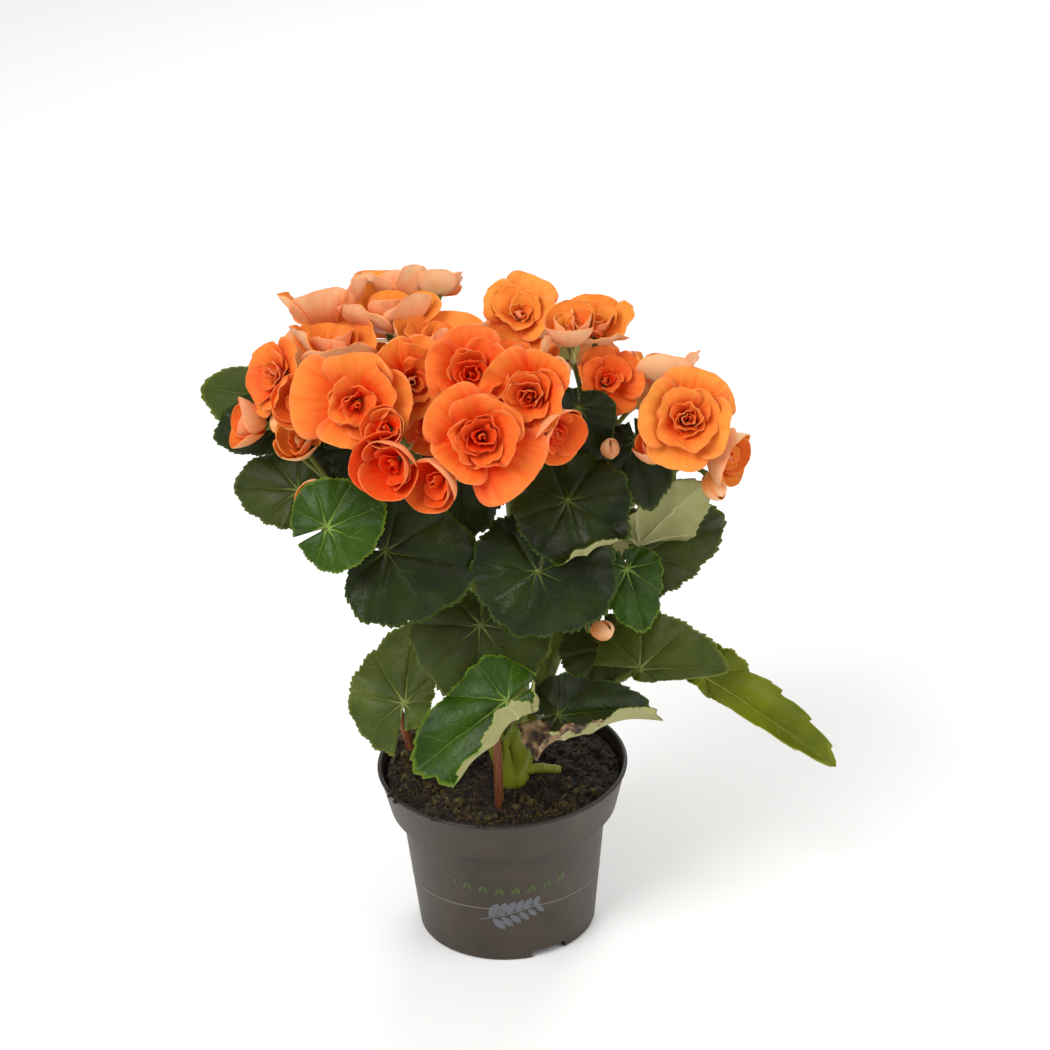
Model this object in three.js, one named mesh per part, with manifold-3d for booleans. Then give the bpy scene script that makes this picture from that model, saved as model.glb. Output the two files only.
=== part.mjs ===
// A potted begonia in flower: a tapered nursery pot filled with peat, two wooden stakes, the
// branching stems with their leaf stalks and flower stalks, the toothed leaves and the blooms.
// Millimetres, +Z up. The origin is the centre of the pot's underside, and the front is -Y.
import * as THREE from "three";
import { mergeVertices } from "three/addons/utils/BufferGeometryUtils.js";
import Module from "manifold-3d";

const wasm = await Module();
wasm.setup();

// Driving dimensions of the pot and its filling
const POT_HEIGHT = 94;
const RIM_RADIUS = 65;
const BAND_DEPTH = 24;
const BODY_TOP_RADIUS = 53.4;
const BASE_RADIUS = 46.1;
const WALL = 1.4;
const FLOOR = 2;
const SIDES = 30;
const GAP = 0.3;
const SLIVER = 0.04;
const SOIL_LEVEL = 88;
const CROWN = { x: 5, y: -12, radius: 9, top: 95, depth: 31 };
const STAKE_RADIUS = 2.3;
const STAKES = [
  { name: "stake_front", foot: [-2, -35, 22], top: [-2, -35, 158] },
  { name: "stake_left", foot: [-37, 12, 50], top: [-60, 12, 150] },
];

// Driving dimensions of the plant
const LEAF_THICKNESS = 0.8;
const LEAF_DOME = 0.25;
const LEAF_VALLEY = 0.12;
const LEAF_WAVE = 0.07;
const SINUS = THREE.MathUtils.degToRad(174);
const TEETH = 12;
const TOOTH_DEPTH = 0.07;
const PETAL_THICKNESS = 0.7;
const LEAF_STALK_RADIUS = 2;
const FLOWER_STALK_RADIUS = 1.5;
// How much lower each flower stalk of a spray starts than the one before
const FORK_STEP = 0.5;

// How much wider a bar of few sides is drawn, so that it holds as much as the round one
const THREE_SIDED = 1.2;
const FOUR_SIDED = 1.1;

const radians = THREE.MathUtils.degToRad;
const vector = (x, y, z) => new THREE.Vector3(x, y, z);
const UP = vector(0, 0, 1);

// Solids

function solidOf(geometry) {
  const bare = geometry.clone();
  bare.deleteAttribute("normal");
  bare.deleteAttribute("uv");
  const merged = mergeVertices(bare, 1e-4);
  return new wasm.Manifold(
    new wasm.Mesh({
      numProp: 3,
      vertProperties: new Float32Array(merged.attributes.position.array),
      triVerts: new Uint32Array(merged.index.array),
    }),
  );
}

function geometryOf(solid) {
  const mesh = solid.getMesh();
  const geometry = new THREE.BufferGeometry();
  geometry.setAttribute("position", new THREE.BufferAttribute(mesh.vertProperties, 3));
  geometry.setIndex(new THREE.BufferAttribute(mesh.triVerts, 1));
  const flat = geometry.toNonIndexed();
  flat.computeVertexNormals();
  return flat;
}

function union(solids) {
  return solids.reduce((whole, solid) => whole.add(solid));
}

// What stays when loose scraps and slivers are dropped: the largest body.
function largestBody(solid) {
  const bodies = solid.simplify(SLIVER).decompose();
  return bodies.reduce((best, body) => (body.volume() > best.volume() ? body : best));
}

// A bar of few sides along a curve.
function bar(curve, radius, sides, steps) {
  const section = new THREE.Shape();
  for (let i = 0; i < sides; i += 1) {
    const angle = (2 * Math.PI * i) / sides;
    section[i ? "lineTo" : "moveTo"](radius * Math.cos(angle), radius * Math.sin(angle));
  }
  return solidOf(new THREE.ExtrudeGeometry(section, {
    steps,
    extrudePath: curve,
    bevelEnabled: false,
  }));
}

function cylinder(radius, bottom, top, x, y, sides = 12) {
  const geometry = new THREE.CylinderGeometry(radius, radius, top - bottom, sides);
  geometry.rotateX(Math.PI / 2);
  geometry.translate(x, y, (top + bottom) / 2);
  return solidOf(geometry);
}

function lathe(profile, segments = SIDES) {
  const points = profile.map(([radius, height]) => new THREE.Vector2(radius, height));
  const geometry = new THREE.LatheGeometry(points, segments);
  geometry.rotateX(Math.PI / 2);
  return geometry;
}

// A thin blade: rows of points from the root outwards, split into triangles alike on both
// faces, with half the thickness laid to each side and a closed rim.
function blade(rows, thickness) {
  const points = rows.flat();
  const faces = [];
  let start = 0;
  for (let k = 0; k + 1 < rows.length; k += 1) {
    const near = rows[k].length;
    const far = rows[k + 1].length;
    let i = 0;
    let j = 0;
    while (i < near - 1 || j < far - 1) {
      const outer = start + near + j;
      if (i === near - 1 || (j < far - 1 && (j + 0.5) / (far - 1) < (i + 0.5) / (near - 1))) {
        faces.push([start + i, outer + 1, outer]);
        j += 1;
      } else {
        faces.push([start + i, start + i + 1, outer]);
        i += 1;
      }
    }
    start += near;
  }
  const normals = points.map(() => vector(0, 0, 0));
  const edges = new Map();
  for (const [a, b, c] of faces) {
    const normal = points[b].clone().sub(points[a]).cross(points[c].clone().sub(points[a]));
    for (const corner of [a, b, c]) normals[corner].add(normal);
    for (const [from, to] of [[a, b], [b, c], [c, a]]) {
      if (!edges.delete(to + "_" + from)) edges.set(from + "_" + to, [from, to]);
    }
  }
  const count = points.length;
  const positions = [];
  for (const side of [0.5, -0.5]) {
    points.forEach((point, i) => {
      const place = point.clone().addScaledVector(normals[i].normalize(), side * thickness);
      positions.push(place.x, place.y, place.z);
    });
  }
  const index = [];
  for (const [a, b, c] of faces) index.push(a, b, c, a + count, c + count, b + count);
  for (const [a, b] of edges.values()) {
    index.push(b, a, a + count, b, a + count, b + count);
  }
  const geometry = new THREE.BufferGeometry();
  geometry.setAttribute("position", new THREE.Float32BufferAttribute(positions, 3));
  geometry.setIndex(index);
  return solidOf(geometry);
}

// Directions: an azimuth of 0 faces the front (-Y) and 90 faces the right (+X); the lift is
// the angle above the horizontal.
function direction(azimuth, lift) {
  const a = radians(azimuth);
  const e = radians(lift);
  return vector(Math.sin(a) * Math.cos(e), -Math.cos(a) * Math.cos(e), Math.sin(e));
}

// Leaves

// The frame of a leaf: normal = the upper face, tip = where the midrib points. A turn of 0
// points the tip down the slope, 90 to the right as seen from outside, 180 up the slope.
function leafFrame(leaf) {
  const normal = direction(...leaf.face);
  const down = vector(0, 0, -1).addScaledVector(normal, normal.z).normalize();
  const right = normal.clone().cross(down);
  const turn = radians(leaf.turn);
  const tip = down.multiplyScalar(Math.cos(turn)).addScaledVector(right, Math.sin(turn));
  return { normal, tip, across: tip.clone().cross(normal) };
}

// The reach of the margin from the stalk, from the tip (0) round to the lobes by the sinus.
function leafReach(leaf, angle) {
  const [tip, right, left] = leaf.size;
  const side = angle < 0 ? right : left;
  const away = Math.abs(angle);
  if (away < Math.PI / 2) {
    const oval = 1 / Math.hypot(Math.cos(away) / tip, Math.sin(away) / side);
    return oval * (0.9 + 0.1 * Math.cos(away) ** 12);
  }
  const lobe = leaf.lobe ?? 0.8;
  const past = (away - Math.PI / 2) / (SINUS - Math.PI / 2);
  return 0.9 * side * (1 + (lobe - 1) * Math.sin((past * Math.PI) / 2) ** 2);
}

// A point of a leaf's middle surface. Each fold rolls what lies beyond a straight line round a
// bar: the side that rolls, in the same terms as the turn, the line's distance from the stalk,
// the bar's radius and the angle rolled through.
function leafPoint(leaf, frame, angle, part, tooth) {
  const r = leafReach(leaf, angle) * (1 - tooth) * part;
  let x = r * Math.sin(angle);
  let y = r * Math.cos(angle);
  const size = leaf.size[0];
  let z = LEAF_VALLEY * Math.abs(x) - (LEAF_DOME * r * r) / size
    + LEAF_WAVE * size * part ** 2.5 * Math.sin(4 * angle + 1);
  for (const [side, start, radius, sweep] of leaf.folds ?? []) {
    const toward = radians(side - leaf.turn);
    const dx = -Math.sin(toward);
    const dy = Math.cos(toward);
    const beyond = x * dx + y * dy - start;
    if (beyond <= 0) continue;
    const turned = Math.min(beyond / radius, radians(sweep));
    const straight = beyond - turned * radius;
    const along = (radius - z) * Math.sin(turned) + straight * Math.cos(turned);
    z = radius - (radius - z) * Math.cos(turned) + straight * Math.sin(turned);
    x += dx * (along - beyond);
    y += dy * (along - beyond);
  }
  return vector(...leaf.at)
    .addScaledVector(frame.across, x)
    .addScaledVector(frame.tip, y)
    .addScaledVector(frame.normal, z);
}

function leafSolid(leaf, swell = 0) {
  const frame = leafFrame(leaf);
  const teeth = leaf.teeth ?? TEETH;
  const rings = leaf.folds ? [0.35, 0.6, 0.8] : [0.38, 0.72];
  const rows = [[leafPoint(leaf, frame, 0, 0, 0)]];
  rings.forEach((part, k) => {
    const cells = k ? teeth : teeth / 2;
    const row = [];
    for (let i = 0; i <= cells; i += 1) {
      row.push(leafPoint(leaf, frame, SINUS * (2 * i / cells - 1), part, 0));
    }
    rows.push(row);
  });
  const margin = [];
  for (let i = 0; i <= 2 * teeth; i += 1) {
    const tooth = i % 2 ? TOOTH_DEPTH : 0;
    margin.push(leafPoint(leaf, frame, SINUS * (i / teeth - 1), 1 + swell / 40, tooth));
  }
  rows.push(margin);
  return blade(rows, LEAF_THICKNESS + 2 * swell);
}

// Blooms

// A small seeded draw between -1 and 1.
function draw(seed) {
  const value = Math.sin(seed * 127.1 + 311.7) * 43758.5453;
  return 2 * (value - Math.floor(value)) - 1;
}

function bloomFrame(bloom) {
  const axis = direction(...bloom.face);
  const up = vector(0, 0, 1).addScaledVector(axis, -axis.z);
  if (up.length() < 0.05) up.set(0, 1, 0);
  up.normalize();
  return { axis, up, right: up.clone().cross(axis) };
}

// A closed skin over rings of points that run round an axis, from a point below to one above.
function skin(below, rings, above) {
  const columns = rings[0].length;
  const places = [below, ...rings.flat(), above];
  const last = places.length - 1;
  const at = (ring, column) => 1 + ring * columns + (column % columns);
  const index = [];
  for (let i = 0; i < columns; i += 1) {
    index.push(0, at(0, i), at(0, i + 1));
    for (let k = 0; k + 1 < rings.length; k += 1) {
      index.push(at(k, i), at(k + 1, i), at(k + 1, i + 1));
      index.push(at(k, i), at(k + 1, i + 1), at(k, i + 1));
    }
    index.push(last, at(rings.length - 1, i + 1), at(rings.length - 1, i));
  }
  const geometry = new THREE.BufferGeometry().setFromPoints(places);
  geometry.setIndex(index);
  return solidOf(geometry);
}

// The layers of petals in each form of bloom, outermost first. length is a share of the bloom's
// width, open is the angle off the axis at the root and at the tip, and shut is how much more
// upright every other petal stands. cut holds the directions across one petal, and how far the
// petal reaches there, with the notch to its neighbour first.
const FORMS = {
  full: {
    cut: [[-0.5, 0.6], [-0.4, 0.92], [0, 1.06], [0.4, 0.92]],
    layers: [
      { length: 0.54, open: [54, 84], shut: 16, turn: 0, foot: [2.4, 1], rows: [0.5, 1] },
      { length: 0.32, open: [16, 44], shut: 6, turn: 45, foot: [1.6, 3], rows: [1] },
    ],
    heart: 0.2,
  },
  plain: {
    cut: [[-0.5, 0.66], [-0.3, 1], [0.3, 1]],
    layers: [
      { length: 0.54, open: [54, 84], shut: 16, turn: 0, foot: [2.4, 1], rows: [1] },
      { length: 0.32, open: [16, 44], shut: 6, turn: 45, foot: [1.6, 3], rows: [1] },
    ],
    heart: 0.2,
  },
  goblet: {
    cut: [[-0.5, 0.74], [-0.28, 1], [0.28, 1]],
    layers: [
      { length: 0.6, open: [78, 26], shut: 12, turn: 0, foot: [2.2, 1], rows: [0.5, 1] },
      { length: 0.34, open: [40, 20], shut: 6, turn: 45, foot: [1.4, 3], rows: [1] },
    ],
    heart: 0.24,
  },
  cup: {
    cut: [[-0.5, 0.72], [-0.3, 1], [0.3, 1]],
    layers: [
      { length: 0.66, open: [50, 12], shut: 10, turn: 0, foot: [1.8, 1], rows: [0.5, 1] },
    ],
    heart: 0.4,
  },
};

// The petals of one layer, with their own lengths and openings.
function layerPetals(bloom, layer) {
  const petals = [];
  for (let i = 0; i < 4; i += 1) {
    const vary = draw(bloom.at[0] * 3 + bloom.at[2] + i * 7 + layer.turn);
    const share = (bloom.petals?.[i] ?? 1) * (1 + 0.05 * vary);
    petals.push({
      roll: (bloom.roll ?? 0) + layer.turn + 90 * i,
      length: layer.length * bloom.size * share,
      open: layer.open.map((angle) => angle - layer.shut * (i % 2) + 4 * vary),
    });
  }
  return petals;
}

// Off the axis and along it, where a petal that opens from one angle to another has come after
// a given run, with its thickness laid to one side.
function petalRun(petal, run, lift, foot) {
  const open = radians(petal.open[0]);
  const rate = (radians(petal.open[1]) - open) / petal.length + 1e-5;
  const here = open + rate * run;
  const away = (Math.cos(open) - Math.cos(here)) / rate;
  const along = (Math.sin(here) - Math.sin(open)) / rate;
  return [
    foot[0] + away - lift * Math.cos(here),
    foot[1] + along + lift * Math.sin(here),
  ];
}

function bloomSolid(bloom, swell = 0) {
  const frame = bloomFrame(bloom);
  const base = vector(...bloom.at);
  const place = (roll, [away, along]) => base.clone()
    .addScaledVector(frame.up, away * Math.cos(radians(roll)))
    .addScaledVector(frame.right, away * Math.sin(radians(roll)))
    .addScaledVector(frame.axis, along);
  if (bloom.form === "bud") return budSolid(bloom, place, swell);
  const { cut, layers, heart } = FORMS[bloom.form];
  const half = PETAL_THICKNESS / 2 + swell;
  const rings = [];
  let valley = 0;
  for (const layer of layers) {
    const petals = layerPetals(bloom, layer);
    const columns = petals.flatMap((petal) => cut.map(([turn, reach]) => ({
      petal,
      roll: petal.roll + 90 * turn,
      run: (petal.length + swell) * reach,
    })));
    const ring = (part, side) => columns.map(({ petal, roll, run }) => (
      place(roll, petalRun(petal, run * part, side * half, layer.foot))));
    for (const part of layer.rows) rings.push(ring(part, -1));
    for (const part of layer.rows.toReversed()) rings.push(ring(part, 1));
    valley = layer.foot[1] + 2 * half + 0.6;
    if (layer === layers.at(-1)) break;
    const foot = layer.foot[0] * 0.9 + half;
    rings.push(columns.map(({ roll }) => place(roll + layer.turn / 2, [foot, valley])));
  }
  const top = Math.max(valley + 1, bloom.size * heart) + swell;
  return skin(place(0, [0, -3 - swell]), rings, place(0, [0, top]));
}

// A bud: two petals clasped face to face, drawn as one flattened drop.
function budSolid(bloom, place, swell) {
  const size = bloom.size;
  const rings = [[0.1, 0.3], [0.5, 0.46], [0.82, 0.3]].map(([height, girth]) => {
    const ring = [];
    for (let i = 0; i < 8; i += 1) {
      const flat = Math.hypot(Math.cos(i * Math.PI / 4), 0.72 * Math.sin(i * Math.PI / 4));
      ring.push(place((bloom.roll ?? 0) + 45 * i, [size * girth * flat + swell, size * height]));
    }
    return ring;
  });
  return skin(place(0, [0, -size * 0.1 - swell]), rings, place(0, [0, size + swell]));
}

// Pot: a thin moulded wall with a deep band under the rolled lip, stepped in to the body.
function potSolid() {
  const bandFoot = POT_HEIGHT - BAND_DEPTH;
  const shell = solidOf(lathe([
    [0, 0],
    [BASE_RADIUS, 0],
    [BODY_TOP_RADIUS, bandFoot - 0.6],
    [RIM_RADIUS - 5.8, bandFoot + 0.6],
    [RIM_RADIUS - 1, POT_HEIGHT - 2.4],
    [RIM_RADIUS, POT_HEIGHT - 1.6],
    [RIM_RADIUS - 0.4, POT_HEIGHT],
    [RIM_RADIUS - 2.4, POT_HEIGHT],
    [RIM_RADIUS - 1 - WALL, POT_HEIGHT - 2.4],
    [RIM_RADIUS - 5.8 - WALL, bandFoot + 2],
    [BODY_TOP_RADIUS - WALL, bandFoot + 1],
    [BASE_RADIUS - WALL, FLOOR],
    [0, FLOOR],
  ]));
  // Three drain notches through the foot of the wall, and round holes in the floor
  let pot = shell;
  for (const azimuth of [27.6, 147.6, 267.6]) {
    const notch = new THREE.BoxGeometry(19.5, 14, 8.6);
    notch.translate(0, -(BASE_RADIUS - 3), 0);
    notch.rotateZ(radians(azimuth));
    pot = pot.subtract(solidOf(notch));
    const middle = direction(azimuth + 60, 0).multiplyScalar(BASE_RADIUS * 0.55);
    pot = pot.subtract(cylinder(4, -1, FLOOR + 1, middle.x, middle.y, 10));
  }
  return pot;
}

// Soil: fills the pot, with a lumpy top that is heaped at the back left.
function soilHeight(x, y) {
  const lumps = 1.1 * Math.sin(x * 0.21 + 1) * Math.sin(y * 0.19 + 2)
    + 0.7 * Math.sin(x * 0.43 + y * 0.31);
  const heap = 6 * Math.exp(-((x + 44) ** 2 + (y - 26) ** 2) / 420);
  return SOIL_LEVEL + lumps + heap;
}

function soilSolid(holes) {
  const bandFoot = POT_HEIGHT - BAND_DEPTH;
  const wall = WALL + GAP;
  const slope = 4.8 / (BAND_DEPTH - 3);
  const top = RIM_RADIUS - 1 - wall - slope * (POT_HEIGHT - 2.4 - SOIL_LEVEL);
  const profile = [
    [0, FLOOR + GAP],
    [BASE_RADIUS - wall, FLOOR + GAP],
    [BODY_TOP_RADIUS - wall, bandFoot + 1 + 2 * GAP],
    [RIM_RADIUS - 5.8 - wall, bandFoot + 2 + GAP],
    [top - 1, SOIL_LEVEL],
  ];
  for (const part of [0.78, 0.5, 0.22, 0]) profile.push([top * part, SOIL_LEVEL]);
  const geometry = lathe(profile);
  const places = geometry.attributes.position;
  for (let i = 0; i < places.count; i += 1) {
    if (places.getZ(i) > SOIL_LEVEL - 0.1) {
      const x = places.getX(i);
      const y = places.getY(i);
      const edge = Math.min(1, (top - Math.hypot(x, y)) / 8 + 0.2);
      places.setZ(i, SOIL_LEVEL + edge * (soilHeight(x, y) - SOIL_LEVEL));
    }
  }
  return holes.reduce((soil, hole) => soil.subtract(hole), solidOf(geometry));
}

// Where everything grows. The stems rise from the crown and carry the stalks.
const STEMS = [
  { radius: 4.5, path: [[3, -13, 91], [-6, -12, 125], [-24, -8, 185], [-38, -4, 245], [-48, -5, 290]] },
  { radius: 4.5, path: [[7, -10, 91], [10, -8, 130], [12, -2, 190], [10, 2, 250], [6, 2, 300]] },
  { radius: 4, path: [[9, -12, 91], [20, 8, 125], [41, 25, 175], [63, 24, 225], [78, 15, 262]] },
  { radius: 4, path: [[3, -8, 91], [-2, 14, 130], [-12, 34, 190], [-16, 44, 245], [-18, 50, 290]] },
  { radius: 3.6, path: [[8, -8, 91], [20, 12, 130], [34, 28, 185], [42, 38, 240], [44, 40, 285]] },
  { radius: 3.4, path: [[2, -14, 91], [-4, -15, 118], [-14, -15, 165], [-25, -20, 210], [-34, -26, 250]] },
  { radius: 2.6, path: [[6, -12, 93], [18, -11, 95], [30, -10, 93]] },
];

// Leaves, the front ones first: at = where the stalk meets the blade, size = reach of the tip
// and of the two sides, stalk = the stem it grows from and how far up.
const LEAVES = [
  { name: "leaf_front_left", at: [-79, -74, 274], face: [-10, 32], turn: 115, size: [30, 27, 26],
    lobe: 0.75, stalk: [5, 0.9] },
  { name: "leaf_front_middle", at: [-52, -58, 251], face: [-2, 28], turn: 78, size: [48, 36, 42],
    lobe: 0.4, stalk: [5, 0.8] },
  { name: "leaf_behind_right", at: [37, -50, 271], face: [0, 46], turn: 15, size: [36, 36, 32],
    folds: [[25, 20, 5, 115]], stalk: [1, 0.7] },
  { name: "leaf_front_right", at: [21, -61, 238], face: [2, 28], turn: -20, size: [34, 46, 38],
    lobe: 0.95, stalk: [1, 0.6] },
  { name: "leaf_front_low", at: [4, -72, 172], face: [-8, 46], turn: -52, size: [58, 30, 28],
    folds: [[38, 9, 4, 120], [98, 12, 4, 115]], stalk: [5, 0.14] },
  { name: "leaf_front_low_right", at: [30, -58, 155], face: [8, 46], turn: 90, size: [49, 23, 31],
    folds: [[18, 10, 4.5, 120]], stalk: [2, 0.2] },
  { name: "leaf_middle_grey", at: [-8, -43, 199], face: [-4, 26], turn: -5, size: [44, 42, 42],
    lobe: 0.45, stalk: [5, 0.62] },
  { name: "leaf_left_low", at: [-48, -36, 152], face: [-24, 34], turn: -174, size: [43, 35, 18],
    lobe: 0.9, stalk: [0, 0.25] },
  { name: "leaf_right_inner", at: [55, -2, 160], face: [-5, 35], turn: 10, size: [20, 26, 28],
    teeth: 8, stalk: [2, 0.42] },
  { name: "leaf_right_low", at: [72, -24, 160], face: [-8, 42], turn: 94, size: [45, 34, 8],
    stalk: [2, 0.1] },
  { name: "leaf_far_right", at: [105, -2, 142], face: [6, 36], turn: 52, size: [84, 21, 9],
    lobe: 1.3, stalk: [2, 0.28] },
  { name: "leaf_right_bright", at: [66, -32, 222], face: [18, 32], turn: 6, size: [33, 20, 20],
    lobe: 0.6, stalk: [2, 0.6] },
  { name: "leaf_right_curled", at: [74, -12, 220], face: [8, 42], turn: 112, size: [50, 25, 28],
    stalk: [2, 0.66] },
  { name: "leaf_right_curled", at: [73, -9, 223], face: [192, 12], turn: 214, size: [54, 24, 24],
    lobe: 0.1, teeth: 8 },
  { name: "leaf_left_third", at: [-96, -20, 266], face: [-12, 36], turn: -92, size: [35, 23, 27],
    stalk: [0, 0.62] },
  { name: "leaf_left_top", at: [-104, 10, 303], face: [-14, 34], turn: -93, size: [44, 26, 18],
    stalk: [0, 0.8] },
  { name: "leaf_left_second", at: [-106, -8, 295], face: [-10, 34], turn: -80, size: [33, 15, 26],
    stalk: [0, 0.72] },
  { name: "leaf_left_dark", at: [-76, -16, 288], face: [0, 22], turn: -4, size: [30, 15, 16],
    lobe: 0.5, teeth: 8, stalk: [0, 0.78] },
  { name: "leaf_inner_dark", at: [-65, -20, 290], face: [0, 15], turn: 5, size: [28, 15, 19],
    teeth: 8, stalk: [0, 0.88] },
  { name: "leaf_inner_middle", at: [-16, -26, 280], face: [0, 22], turn: 0, size: [40, 30, 26],
    lobe: 0.6, teeth: 8, stalk: [1, 0.75] },
  { name: "leaf_high_middle", at: [44, -20, 306], face: [6, 20], turn: -6, size: [46, 21, 24],
    lobe: 0.5, teeth: 8, stalk: [1, 0.85] },
  { name: "leaf_high_right", at: [72, -18, 286], face: [10, 24], turn: 8, size: [36, 22, 20],
    lobe: 0.6, teeth: 8, stalk: [2, 0.8] },
  { name: "leaf_back_left", at: [-56, 60, 254], face: [-142, 32], turn: 0, size: [46, 36, 36],
    teeth: 8, stalk: [3, 0.66] },
  { name: "leaf_back_middle", at: [4, 70, 246], face: [180, 30], turn: 5, size: [48, 34, 34],
    teeth: 8, stalk: [3, 0.7] },
  { name: "leaf_back_right", at: [58, 56, 244], face: [145, 32], turn: 0, size: [46, 36, 36],
    teeth: 8, stalk: [4, 0.7] },
  { name: "leaf_back_low", at: [22, 52, 190], face: [170, 35], turn: 10, size: [42, 34, 34],
    teeth: 8, stalk: [4, 0.42] },
  { name: "leaf_back_low_left", at: [-30, 60, 176], face: [-160, 35], turn: -10, size: [40, 34, 34],
    teeth: 8, stalk: [3, 0.42] },
];

// Sprays of blooms: fork = where the flower stalks part, stalk = the stem they come from. In a
// bloom, at = the base of the petals, face = where it looks, size = its width.
const SPRAYS = [
  { name: "spray_left_front", fork: [-45, -26, 297], stalk: [0, 0.9], blooms: [
    { form: "full", at: [-62, -48, 328], face: [-8, 25], size: 51, roll: -85, petals: [1.15, 1, 1, 0.9] },
    { form: "full", at: [-38, -32, 330], face: [0, 30], size: 42, roll: 45 },
  ] },
  { name: "spray_front_low", fork: [-36, -40, 282], stalk: [5, 1], blooms: [
    { form: "cup", at: [-43, -68, 307], face: [-20, 10], size: 35 },
    { form: "cup", at: [-21, -72, 301], face: [-30, 0], size: 31, roll: 40 },
    { form: "cup", at: [-47, -66, 321], face: [-15, 30], size: 22, roll: 20 },
    { form: "plain", at: [-28, -38, 312], face: [6, 15], size: 28, roll: 10 },
  ] },
  { name: "spray_middle", fork: [-3, -36, 288], stalk: [1, 0.85], blooms: [
    { form: "full", at: [-5, -67, 316], face: [2, 25], size: 53, roll: 135, petals: [1.05, 0.9, 1, 0.9] },
    { form: "full", at: [-7, -40, 336], face: [-5, 35], size: 43 },
  ] },
  { name: "spray_middle_right", fork: [20, -30, 290], stalk: [1, 0.9], blooms: [
    { form: "full", at: [22, -53, 331], face: [-18, 25], size: 43, roll: 30 },
    { form: "cup", at: [26, -58, 318], face: [35, -5], size: 29 },
    { form: "goblet", at: [12, -16, 321], face: [175, 72], size: 46, roll: 10 },
  ] },
  { name: "spray_left_outer", fork: [-86, -6, 290], stalk: [0, 0.85], blooms: [
    { form: "plain", at: [-98, -15, 325], face: [-60, 25], size: 35, roll: 30 },
    { form: "cup", at: [-85, -24, 315], face: [-30, 30], size: 32 },
    { form: "cup", at: [-109, -14, 299], face: [-80, 15], size: 28 },
  ] },
  { name: "spray_left_low", fork: [-78, -30, 268], stalk: [0, 0.75], blooms: [
    { form: "cup", at: [-91, -28, 293], face: [-20, 50], size: 28 },
    { form: "bud", at: [-86, -50, 267], face: [-10, 70], size: 19 },
    { form: "bud", at: [-103, -20, 300], face: [0, 80], size: 10 },
  ] },
  { name: "spray_left_high", fork: [-70, 8, 304], stalk: [0, 0.95], blooms: [
    { form: "goblet", at: [-74, -9, 327], face: [-170, 82], size: 48, roll: 0 },
    { form: "goblet", at: [-78, 19, 335], face: [-165, 60], size: 46, roll: 16 },
    { form: "cup", at: [-91, 33, 308], face: [-116, 36], size: 30 },
  ] },
  { name: "spray_top_left", fork: [-38, 0, 305], stalk: [0, 1], blooms: [
    { form: "goblet", at: [-48, 14, 334], face: [175, 78], size: 46, roll: 40 },
    { form: "goblet", at: [-24, -6, 328], face: [170, 84], size: 46, roll: 15 },
    { form: "goblet", at: [-49, -10, 318], face: [10, 74], size: 32, roll: 45 },
  ] },
  { name: "spray_back_left", fork: [-34, 46, 305], stalk: [3, 1], blooms: [
    { form: "goblet", at: [-45, 42, 337], face: [180, 62], size: 38, roll: 45 },
    { form: "goblet", at: [-24, 46, 338], face: [175, 55], size: 26, petals: [1.1, 0.8, 1, 1] },
    { form: "plain", at: [-42, 72, 304], face: [-160, 40], size: 48 },
  ] },
  { name: "spray_top_middle", fork: [4, 22, 302], stalk: [1, 1], blooms: [
    { form: "plain", at: [-9, 8, 322], face: [-10, 60], size: 27 },
    { form: "plain", at: [16, 24, 335], face: [0, 50], size: 38, roll: 30 },
    { form: "plain", at: [-6, 50, 300], face: [175, 55], size: 42 },
  ] },
  { name: "spray_right_top", fork: [46, 4, 298], stalk: [4, 0.95], blooms: [
    { form: "cup", at: [41, 0, 331], face: [-10, 80], size: 30 },
    { form: "goblet", at: [54, 12, 329], face: [30, 78], size: 34, roll: 20 },
    { form: "bud", at: [34, -14, 318], face: [0, 70], size: 17 },
  ] },
  { name: "spray_right_inner", fork: [64, -4, 276], stalk: [2, 0.9], blooms: [
    { form: "plain", at: [57, 2, 308], face: [20, 42], size: 33 },
    { form: "cup", at: [80, -30, 281], face: [-10, 75], size: 22 },
    { form: "bud", at: [59, -28, 284], face: [0, 70], size: 11 },
  ] },
  { name: "spray_right_front", fork: [90, -16, 266], stalk: [2, 0.95], blooms: [
    { form: "full", at: [95, -30, 302], face: [5, 30], size: 48, roll: 20 },
    { form: "cup", at: [106, -24, 284.5], face: [58, -8], size: 32, roll: 6 },
    { form: "bud", at: [106.4, -26.6, 271], face: [40, -38], size: 15, roll: 8 },
  ] },
  { name: "spray_right_back", fork: [84, 10, 274], stalk: [2, 1], blooms: [
    { form: "goblet", at: [88, 6, 305], face: [175, 62], size: 35 },
    { form: "plain", at: [101, -4, 296], face: [38, 45], size: 32 },
    { form: "cup", at: [98, 22, 272], face: [100, 20], size: 34 },
  ] },
  { name: "spray_back_far_left", fork: [-56, 40, 280], stalk: [3, 0.86], blooms: [
    { form: "plain", at: [-72, 52, 304], face: [-125, 40], size: 42 },
  ] },
  { name: "spray_back_middle", fork: [18, 44, 264], stalk: [4, 0.72], blooms: [
    { form: "plain", at: [2, 84, 272], face: [180, 42], size: 48 },
    { form: "plain", at: [40, 66, 288], face: [150, 40], size: 46, roll: 30 },
  ] },
  { name: "spray_back_right", fork: [60, 28, 262], stalk: [4, 0.76], blooms: [
    { form: "plain", at: [72, 44, 274], face: [120, 38], size: 46 },
  ] },
  { name: "bud_low", fork: [46, -26, 190], stalk: [2, 0.5], blooms: [
    { form: "bud", at: [49, -38, 192], face: [40, 20], size: 14 },
  ] },
];

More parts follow.
